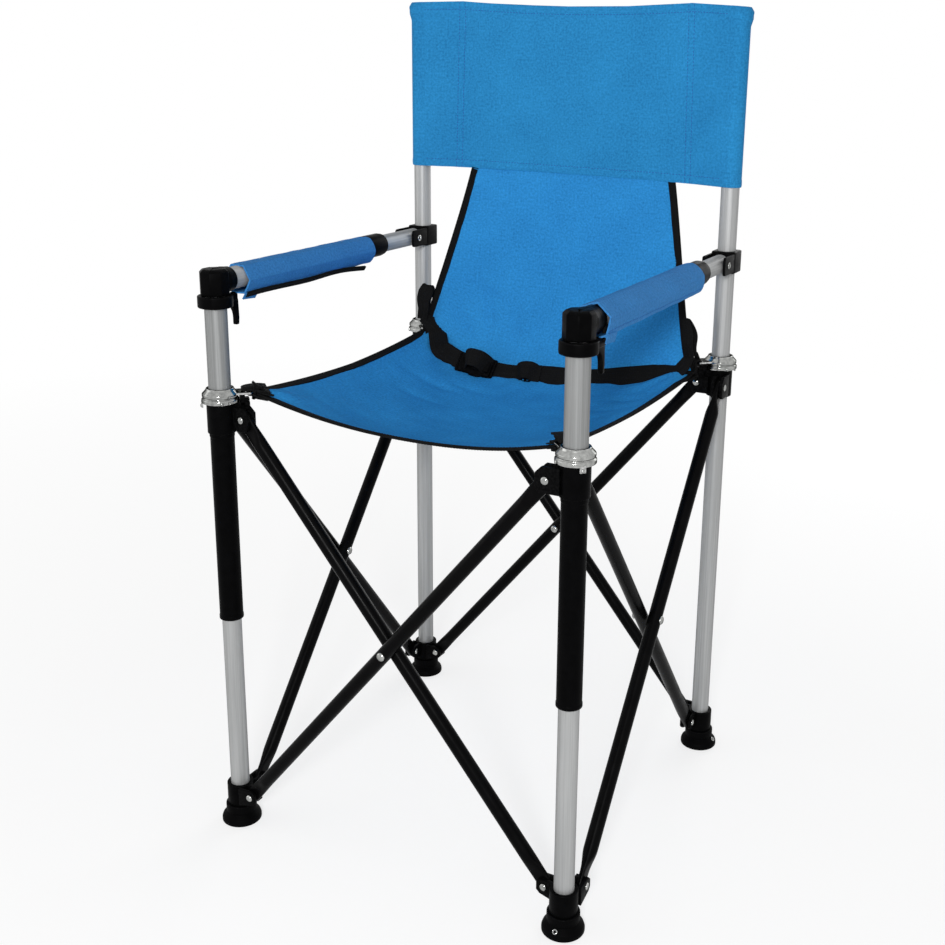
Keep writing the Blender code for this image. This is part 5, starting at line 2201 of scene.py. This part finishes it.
    def tapes(self, kind: SeatPanel) -> Shell:
        """A panel's bindings, along both sides and on the front edge.

        Args:
            kind: The panel.

        Returns:
            The bindings in place.
        """
        v = np.linspace(*kind.value[3:])
        left, right = (self.tape(np.full_like(v, side), v, self.smooth(side * 0.96, v), 31 + side)
                       for side in (-1, 1))
        if kind is not SeatPanel.FRONT:
            return left + right
        u = np.linspace(-0.985, 0.985, 110)
        return left + right + self.tape(u, np.full_like(u, 2.0), self.smooth(u, 2.0 - 0.03), 37)

    def build(self) -> None:
        """Makes the cloth panels, their bindings and the bindings' stitches."""
        for kind in SeatPanel:
            name, (body, first, last) = kind.label + "_panel", kind.value[:3]
            node = kind.label + "_cloth"
            # The seat panels take the lighter canvas copy, which is painted light.
            cloth = self.place(name, self.panel(kind), SEAT_CANVAS_PAINTED_LIGHT, node, body, CANVAS_SHARP)
            self.lines.clear()
            tape = self.place(name + "_binding", self.tapes(kind), TAPE, "", body, SOFT_SHARP)
            sewn = self.stitches(name + "_stitches", self.lines, self.stitch, body)
            if kind is SeatPanel.BACK:
                self.crumple((cloth, tape, sewn), -self.back_anchor, self.back_keep)
            else:
                self.crumple((cloth, tape, sewn), -self.corner, SIZES.kept(self.corner))
            flat = self.flat((-1.0, 1.0), (first, last))
            wide = 2 * max(float(self.edge(np.array(v))[0]) for v in (first, last)) + 0.02


@dataclass
class CornerStrap(Assembly):
    """The webbing that ties a seat corner to its collar's slot."""

    where: Corner
    seat: SeatCloth
    width: float = 0.0135
    wide: float = 0.020
    thick: float = 0.0022
    patch_t: float = 0.0012
    patch_lift: float = 0.0026
    loop_lift: float = 0.0044
    part = "slider"

    @property
    def side(self) -> float:
        """The corner's side in X."""
        return copysign(1.0, self.where.axis.x)

    @property
    def inward(self) -> Array:
        """The level direction from the upright to the seat."""
        return unit(-np.array(self.where.axis))

    @property
    def across(self) -> Array:
        """The level direction across the strap."""
        return np.cross((0, 0, 1), self.inward)

    def spot(self, reach: float, side: float, z: float) -> Array:
        """A point at a reach from the upright's axis towards the seat."""
        return np.array(self.where.axis) + (0.0, 0.0, z) + self.inward * reach + self.across * side

    def on_cloth(self, share: float, lift: float) -> Array:
        """A point over the cloth, a share of the way in from its corner."""
        row, step = (2.0, -1.0) if self.where.is_front else (1.0, 1.0)
        return self.seat.lifted(self.side * (1 - 0.16 * share), row + step * 0.075 * share, lift)

    def loop(self) -> Shell:
        """The strap: over the cloth, round the bar of the slot and back under the cloth.

        Returns:
            The strap in place.
        """
        bar = SIZES.tab_z + SIZES.tab_t / 2
        turn = [self.spot(r, 0.0, bar + z) for r, z in
                ((0.0370, 0.0008), (0.0335, 0.0028), (0.0305, 0.0024), (0.0290, 0.0), (0.0305, -0.0025),
                 (0.0335, -0.0029), (0.0370, -0.0036))]
        shares = (0.40, 0.22, 0.07)
        over = [self.on_cloth(share, self.loop_lift) for share in shares]
        under = [self.on_cloth(share, -self.loop_lift) for share in reversed(shares)]
        path = smooth_line([*over, *turn, *under], 80)
        reach = (path - np.array(self.where.axis)) @ self.inward
        width = np.interp(reach, (0.031, 0.040, 0.052), (self.width, self.wide, self.wide * 0.8))
        return strap(path, self.across, width, self.thick)

    def patch(self, lift: float) -> Shell:
        """A leaf of webbing sewn on one face of the cloth's corner.

        Args:
            lift: Its distance from the cloth's middle surface.

        Returns:
            The leaf in place.
        """
        shares = np.linspace(0.0, 0.50, 14)
        path = np.array([self.on_cloth(share, lift) for share in shares])
        width = np.interp(shares, (0.0, 0.18, 0.34, 0.46, 0.50), (0.012, 0.022, 0.026, 0.022, 0.015))
        return strap(path, self.across, width, self.patch_t)

    def tail(self) -> Shell:
        """The binding's cut end, which curls up at the corner.

        Returns:
            The end in place.
        """
        curl = ((0.0440, 0.0050, 0.0062), (0.0395, 0.0072, 0.0088), (0.0355, 0.0090, 0.0128))
        knots = [self.spot(reach, out * self.side, SIZES.tab_z + up) for reach, out, up in curl]
        path = smooth_line([self.on_cloth(0.20, 0.0040), *knots], 18)
        return strap(path, self.across, np.linspace(0.010, 0.0075, 18), 0.0026)

    def fold(self) -> Shell:
        """The strap's end, folded over on the collar's tab.

        Returns:
            The fold in place.
        """
        top = SIZES.tab_z + SIZES.tab_t
        knots = ((0.0500, 0.0036), (0.0410, 0.0050), (0.0310, 0.0046), (0.0255, 0.0036), (0.0240, 0.0026),
                 (0.0258, 0.0014), (0.0330, 0.0022), (0.0420, 0.0030))
        path = smooth_line([self.spot(reach, 0.0, top + up) for reach, up in knots], 40)
        width = np.interp((path - path[4]) @ self.inward, (-0.02, 0.02), (0.013, 0.017))
        return strap(path, self.across, width, self.thick)

    def build(self) -> None:
        """Makes the corner's webbing."""
        shell = self.loop() + self.patch(self.patch_lift) + self.patch(-self.patch_lift)
        if self.where.is_front:
            shell += self.fold()
        if self.where is Corner.FRONT_LEFT:
            shell += self.tail()
        self.place("corner_strap", shell, STRAP, sharp=SOFT_SHARP)


@dataclass
class LapBelt(Assembly):
    """The belt along the crease, its buckle, its adjuster and the loops that hold its ends."""

    seat: SeatCloth
    width: float = 0.025
    neck: float = 0.013
    thick: float = 0.0016
    reach: float = 0.80
    lift: float = 0.0036
    buckle_u: float = -0.47
    buckle_l: float = 0.046
    buckle_w: float = 0.030
    buckle_t: float = 0.009
    adjuster_u: float = -0.10
    loop_h: float = 0.044
    loop_t: float = 0.0018
    loop_w: tuple[float, float] = (0.020, 0.012)
    loop_tip: tuple[float, float] = (0.010, 0.003)
    facing: Triple = (0.0, -0.80, 0.60)
    prefix = ""
    body = "seat_rear"

    def line(self, u: Array) -> Array:
        """The belt's middle line where it lies along the crease.

        Args:
            u: Places across the seat.

        Returns:
            The points.
        """
        row = 1.0 - np.where(u < 0, 0.080, 0.035) * u
        slack = self.lift + 0.0020 * (1 + np.sin(u * 11.0 + 0.7)) + 0.0080 * clamp((-u - 0.52) / 0.24)
        return self.seat.lifted(u, row, slack)

    def pinch(self, side: float) -> Array:
        """Where the belt is drawn together at a rear corner."""
        return self.seat.smooth(side, 0.93) + (side * 0.004, -0.010, 0.002 if side < 0 else 0.009)

    def belt(self) -> Shell:
        """The belt's webbing, with its face to the front and drawn together at both ends.

        Returns:
            The webbing in place.
        """
        inner = self.line(np.linspace(-self.reach, self.reach, 25))
        left, right = self.seat.lifted(-0.93, 1.02, 0.0145), self.seat.lifted(0.93, 0.96, 0.0105)
        path = smooth_line([self.pinch(-1.0), left, *inner, right, self.pinch(1.0)], 190)
        share = np.linspace(0, 1, len(path))
        turned_out = np.interp(share, (0.12, 0.26), (1, 0))[:, None]
        across = np.cross(self.facing + turned_out * (0.55, 0.0, -0.40), tangents(path))
        width = np.interp(share, (0, 0.02, 0.05, 0.91, 0.97, 1),
                          (self.neck, 0.020, self.width, self.width, 0.018, self.neck))
        return strap(path, across, width, self.thick)

    def frame_at(self, u: float) -> Matrix:
        """A frame on the belt: X along it, Y across it and Z off its face.

        Args:
            u: Place across the seat.

        Returns:
            The frame's matrix.
        """
        before, spot, after = self.line(u + np.array((-0.05, 0.0, 0.05)))
        ahead = unit(after - before)
        up = unit(np.cross(self.facing, ahead))
        out = np.cross(ahead, up)
        turn = Matrix((ahead, up, out)).transposed().to_4x4()
        return Matrix.Translation(spot + out * self.thick / 2) @ turn

    def buckle(self) -> Shell:
        """A side-release buckle: a waisted body, two side prongs, a raised rib and strap bars.

        Returns:
            The buckle in place.
        """
        h, w, t = self.buckle_l / 2, self.buckle_w / 2, self.buckle_t
        half = [(-h, 0.86), (-h * 0.35, 0.86), (-h * 0.18, 1.0), (h * 0.42, 1.0), (h * 0.55, 0.84),
                (h, 0.84)]
        outline = [(x, -y * w) for x, y in half] + [(x, y * w) for x, y in reversed(half)]
        shell = prism(rounded(outline, 0.0028), 0.0006, t * 0.72, 0.0016)
        shell += block((-h * 0.12, -w * 0.52, t * 0.4), (h * 0.92, w * 0.52, t), 0.003, 0.0018)
        bar, end = (0.0012, 0.0010), h + 0.0035
        for sign in (-1, 1):
            y, rail = sign * w * 0.92, sign * w * 0.80
            shell += block((-h * 0.22, y - 0.0030, t * 0.12), (h * 0.38, y + 0.0030, t * 0.62),
                           0.002, 0.0014)
            shell += block((-end, rail - 0.0016, 0.0010), (end, rail + 0.0016, t * 0.5), *bar)
        for x in (-h - 0.0022, -h * 0.62, h + 0.0022):
            shell += block((x - 0.0018, -w * 0.82, t * 0.22), (x + 0.0018, w * 0.82, t * 0.58), *bar)
        return shell.moved(self.frame_at(self.buckle_u))

    def tail(self) -> Shell:
        """The belt's free end, which arches over the buckle and again where it leaves the slide.

        Returns:
            The webbing in place.
        """
        start, end = self.buckle_u, self.adjuster_u
        u = np.linspace(start - 0.17, end + 0.10, 90)
        arch = 0.0185 * bell(u - start - 0.01, 0.085, 4) + 0.0085 * bell(u - end, 0.055, 4)
        path = self.line(u) + np.outer(arch + self.thick * 1.1, (0.0, -0.62, 0.78))
        turn = np.interp(u, (start - 0.1, start, start + 0.12), (0.0, 0.25, 0.0))
        face = self.facing + np.outer(turn, (1.0, 0.0, 0.0))
        return strap(path, np.cross(face, tangents(path)), self.width * 0.94, self.thick)

    def adjuster(self) -> Shell:
        """A three-bar slide that takes up the belt's slack.

        Returns:
            The slide in place.
        """
        h, w, bar = 0.0075, 0.0128, 0.0015
        shell = block((-bar, -w, 0.0010), (bar, w, 0.0040), 0.0012, 0.0010)
        for sign in (-1, 1):
            x, y = sign * (h - bar), sign * (w - bar)
            shell += block((x - bar, -w, 0.0004), (x + bar, w, 0.0034), 0.0012, 0.0010)
            shell += block((-h, y - bar, 0.0004), (h, y + bar, 0.0036), 0.0012, 0.0010)
        return shell.moved(self.frame_at(self.adjuster_u))

    def end_loop(self, tie: CornerStrap) -> Shell:
        """The folded webbing that stands up at a rear corner, and its tie to the collar's slot.

        Args:
            tie: The strap of that corner.

        Returns:
            The loop in place.
        """
        side = tie.side
        face = unit(np.array((-0.25 * side, -0.95, 0.10)))
        low = self.pinch(side) + face * 0.0020
        rows = ((0.0, -0.05, 0.0), (-0.0030, 0.28, -0.0020), (-0.0030, 0.60, -0.0012),
                (-0.0080, 0.90, 0.0010), (-0.0105, 1.0, 0.0035), (-0.0080, 0.90, 0.0062),
                (-0.0020, 0.58, 0.0072), (-0.0025, 0.25, 0.0062), (0.0, 0.02, 0.0045))
        knots = [low + (side * out, 0.0, self.loop_h * up) - face * back for out, up, back in rows]
        wide, tip = (pair[int(side > 0)] for pair in (self.loop_w, self.loop_tip))
        width = np.interp(np.linspace(0, 1, 70), (0, 0.14, 0.32, 0.42, 0.5, 0.58, 0.68, 0.86, 1),
                          (self.neck, 0.015, wide, wide * 0.86, tip, wide * 0.86, wide, 0.015, self.neck))
        loop = strap(smooth_line(knots, 70), np.cross(face, (0.0, 0.0, 1.0)), width, self.loop_t)
        slot = tie.spot(0.0290, 0.0, SIZES.tab_z - 0.0010)
        top = tie.spot(0.0325, 0.0, SIZES.tab_z + SIZES.tab_t + 0.0052)
        ends = smooth_line([low - face * 0.001, (low + top) / 2 + (0.0, 0.0, 0.0045), top, slot], 30)
        return loop + strap(ends, tie.across, np.linspace(self.neck, 0.0115, 30), self.loop_t)

    def build(self) -> None:
        """Makes the belt, its fittings and its end loops."""
        webbing = self.belt() + self.tail()
        belt = self.place("lap_belt_webbing", webbing, STRAP, "lap_belt", sharp=SOFT_SHARP)
        buckle = self.place("side_release_buckle", self.buckle(), PLASTIC, "belt_buckle")
        slide = self.place("belt_adjuster", self.adjuster(), PLASTIC)
        self.crumple((belt, buckle, slide), -self.seat.corner, SIZES.kept(self.seat.corner))
        for corner in (Corner.REAR_LEFT, Corner.REAR_RIGHT):
            loop = self.end_loop(CornerStrap(corner, self.seat))
            self.place(corner.label + "_belt_loop", loop, STRAP, "", corner.label + "_slider", SOFT_SHARP)


@dataclass
class Studio:
    """The camera, the floor and plain soft light."""

    azimuth: float = 27.0896
    elevation: float = 15.82803
    roll: float = 0.7612
    focal_px: float = 1262.82
    place: Triple = (0.68388, -1.2595, 0.90033)
    centre_px: tuple[float, float] = (515.148, 408.12)
    floor_half: float = 30.0
    surround: float = 0.42

    def camera(self) -> None:
        """Sets the camera at the photograph's angle."""
        data = bpy.data.cameras.new("camera")
        data.sensor_width = SENSOR_MM
        data.lens = SENSOR_MM * self.focal_px / IMAGE_SIZE
        data.shift_x = (IMAGE_SIZE / 2 - self.centre_px[0]) / IMAGE_SIZE
        data.shift_y = (self.centre_px[1] - IMAGE_SIZE / 2) / IMAGE_SIZE
        data.clip_start = 0.05
        a, e, r = (radians(x) for x in (self.azimuth, self.elevation, self.roll))
        back = Vector((sin(a) * cos(e), -cos(a) * cos(e), sin(e)))
        right = Vector((cos(a), sin(a), 0))
        up = back.cross(right)
        axes = Matrix((right * cos(r) + up * sin(r), up * cos(r) - right * sin(r), back)).transposed()
        camera = bpy.data.objects.new("camera", data)
        camera.matrix_world = Matrix.Translation(self.place) @ axes.to_4x4()
        bpy.context.scene.collection.objects.link(camera)
        bpy.context.scene.camera = camera

    @staticmethod
    def seen(wiring: Wiring) -> NodeSocket:
        """Tells what the camera sees, straight or by a reflection, from what only lights the chair.

        Args:
            wiring: The wiring of the floor or the surround.

        Returns:
            One where a ray comes from the camera, a gloss or a glass.
        """
        rays = wiring.node("ShaderNodeLightPath").outputs
        shiny = wiring.math("MAXIMUM", rays["Is Glossy Ray"], rays["Is Transmission Ray"])
        return wiring.math("MAXIMUM", rays["Is Camera Ray"], shiny)

    def floor(self) -> None:
        """A pale floor that keeps the chair's shadow."""
        mesh = bpy.data.meshes.new("floor")
        half = self.floor_half
        mesh.from_pydata([(x, y, 0) for x, y in oblong(-half, -half, half, half)], [], [(0, 1, 2, 3)])
        floor = bpy.data.objects.new("floor", mesh)
        bpy.context.scene.collection.objects.link(floor)
        material = bpy.data.materials.new("pale_floor")
        material.use_nodes = True
        nodes, wiring = material.node_tree.nodes, Wiring(material.node_tree)
        shader = wiring.give(nodes["Principled BSDF"], Base_Color=(0.9, 0.9, 0.9, 1), Roughness=0.9,
                             Specular_IOR_Level=0.0)
        reach = wiring.node("ShaderNodeVectorMath", {"operation": "LENGTH"}, Vector=wiring.place())
        far = wiring.spread(reach.outputs["Value"], 0.6, 2.4)
        glow = wiring.node("ShaderNodeEmission", Strength=wiring.spread(far, 0, 1, 1.10, 1.0))
        share = wiring.math("MULTIPLY", self.seen(wiring), wiring.spread(far, 0, 1, 0.62, 1.0))
        mixed = wiring.run("ShaderNodeMixShader", (share, shader.outputs[0], glow.outputs[0]))
        wiring.give(nodes["Material Output"], Surface=mixed)
        mesh.materials.append(material)

    def world(self) -> None:
        """A white surround that lights the chair softly."""
        world = bpy.data.worlds.new("surround")
        bpy.context.scene.world = world
        world.use_nodes = True
        wiring = Wiring(world.node_tree)
        strength = wiring.spread(self.seen(wiring), 0, 1, self.surround, 1.0)
        wiring.give(world.node_tree.nodes["Background"], Color=(1, 1, 1, 1), Strength=strength)

    @staticmethod
    def lamp(name: str, place: Triple, aim: Triple, size: float, power: float) -> None:
        """Adds a square soft lamp.

        Args:
            name: The lamp's name.
            place: Where it stands.
            aim: What it points at.
            size: Length of its sides.
            power: Its power in watts.
        """
        data = bpy.data.lights.new(name, "AREA")
        data.size = size
        data.energy = power
        lamp = bpy.data.objects.new(name, data)
        lamp.location = place
        lamp.rotation_mode = "QUATERNION"
        lamp.rotation_quaternion = (Vector(place) - Vector(aim)).to_track_quat("Z", "Y")
        bpy.context.scene.collection.objects.link(lamp)

    def build(self) -> None:
        """Sets the stage."""
        self.camera()
        self.floor()
        self.world()
        self.lamp("key", (0.98, -2.45, 1.42), (0, 0, 0.6), 0.42, 48.0)
        self.lamp("fill", (-2.3, -1.2, 1.2), (0, 0, 0.5), 1.8, 9.0)
        self.lamp("back", (0.3, 2.6, 1.20), (0, 0, 0.6), 1.6, 24.0)
        bpy.context.scene.view_settings.view_transform = "Standard"


def main() -> None:
    """Builds the chair's sub-assemblies in order."""
    logging.basicConfig(level=logging.INFO, format="%(message)s")
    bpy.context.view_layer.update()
    Studio().build()
    for corner in Corner:
        Upright(corner).build()
        Slider(corner).build()
    for flank in Flank:
        BracePair(flank).build()
    for side in Side:
        Latch(side).build()
        Armrest(side, **ARM_FITS[side]).build()
        ArmBracket(side).build()
    backrest = Backrest()
    backrest.build()
    seat = SeatCloth(backrest)
    seat.build()
    for corner in Corner:
        CornerStrap(corner, seat).build()
    LapBelt(seat).build()


if __name__ == "__main__":
    main()
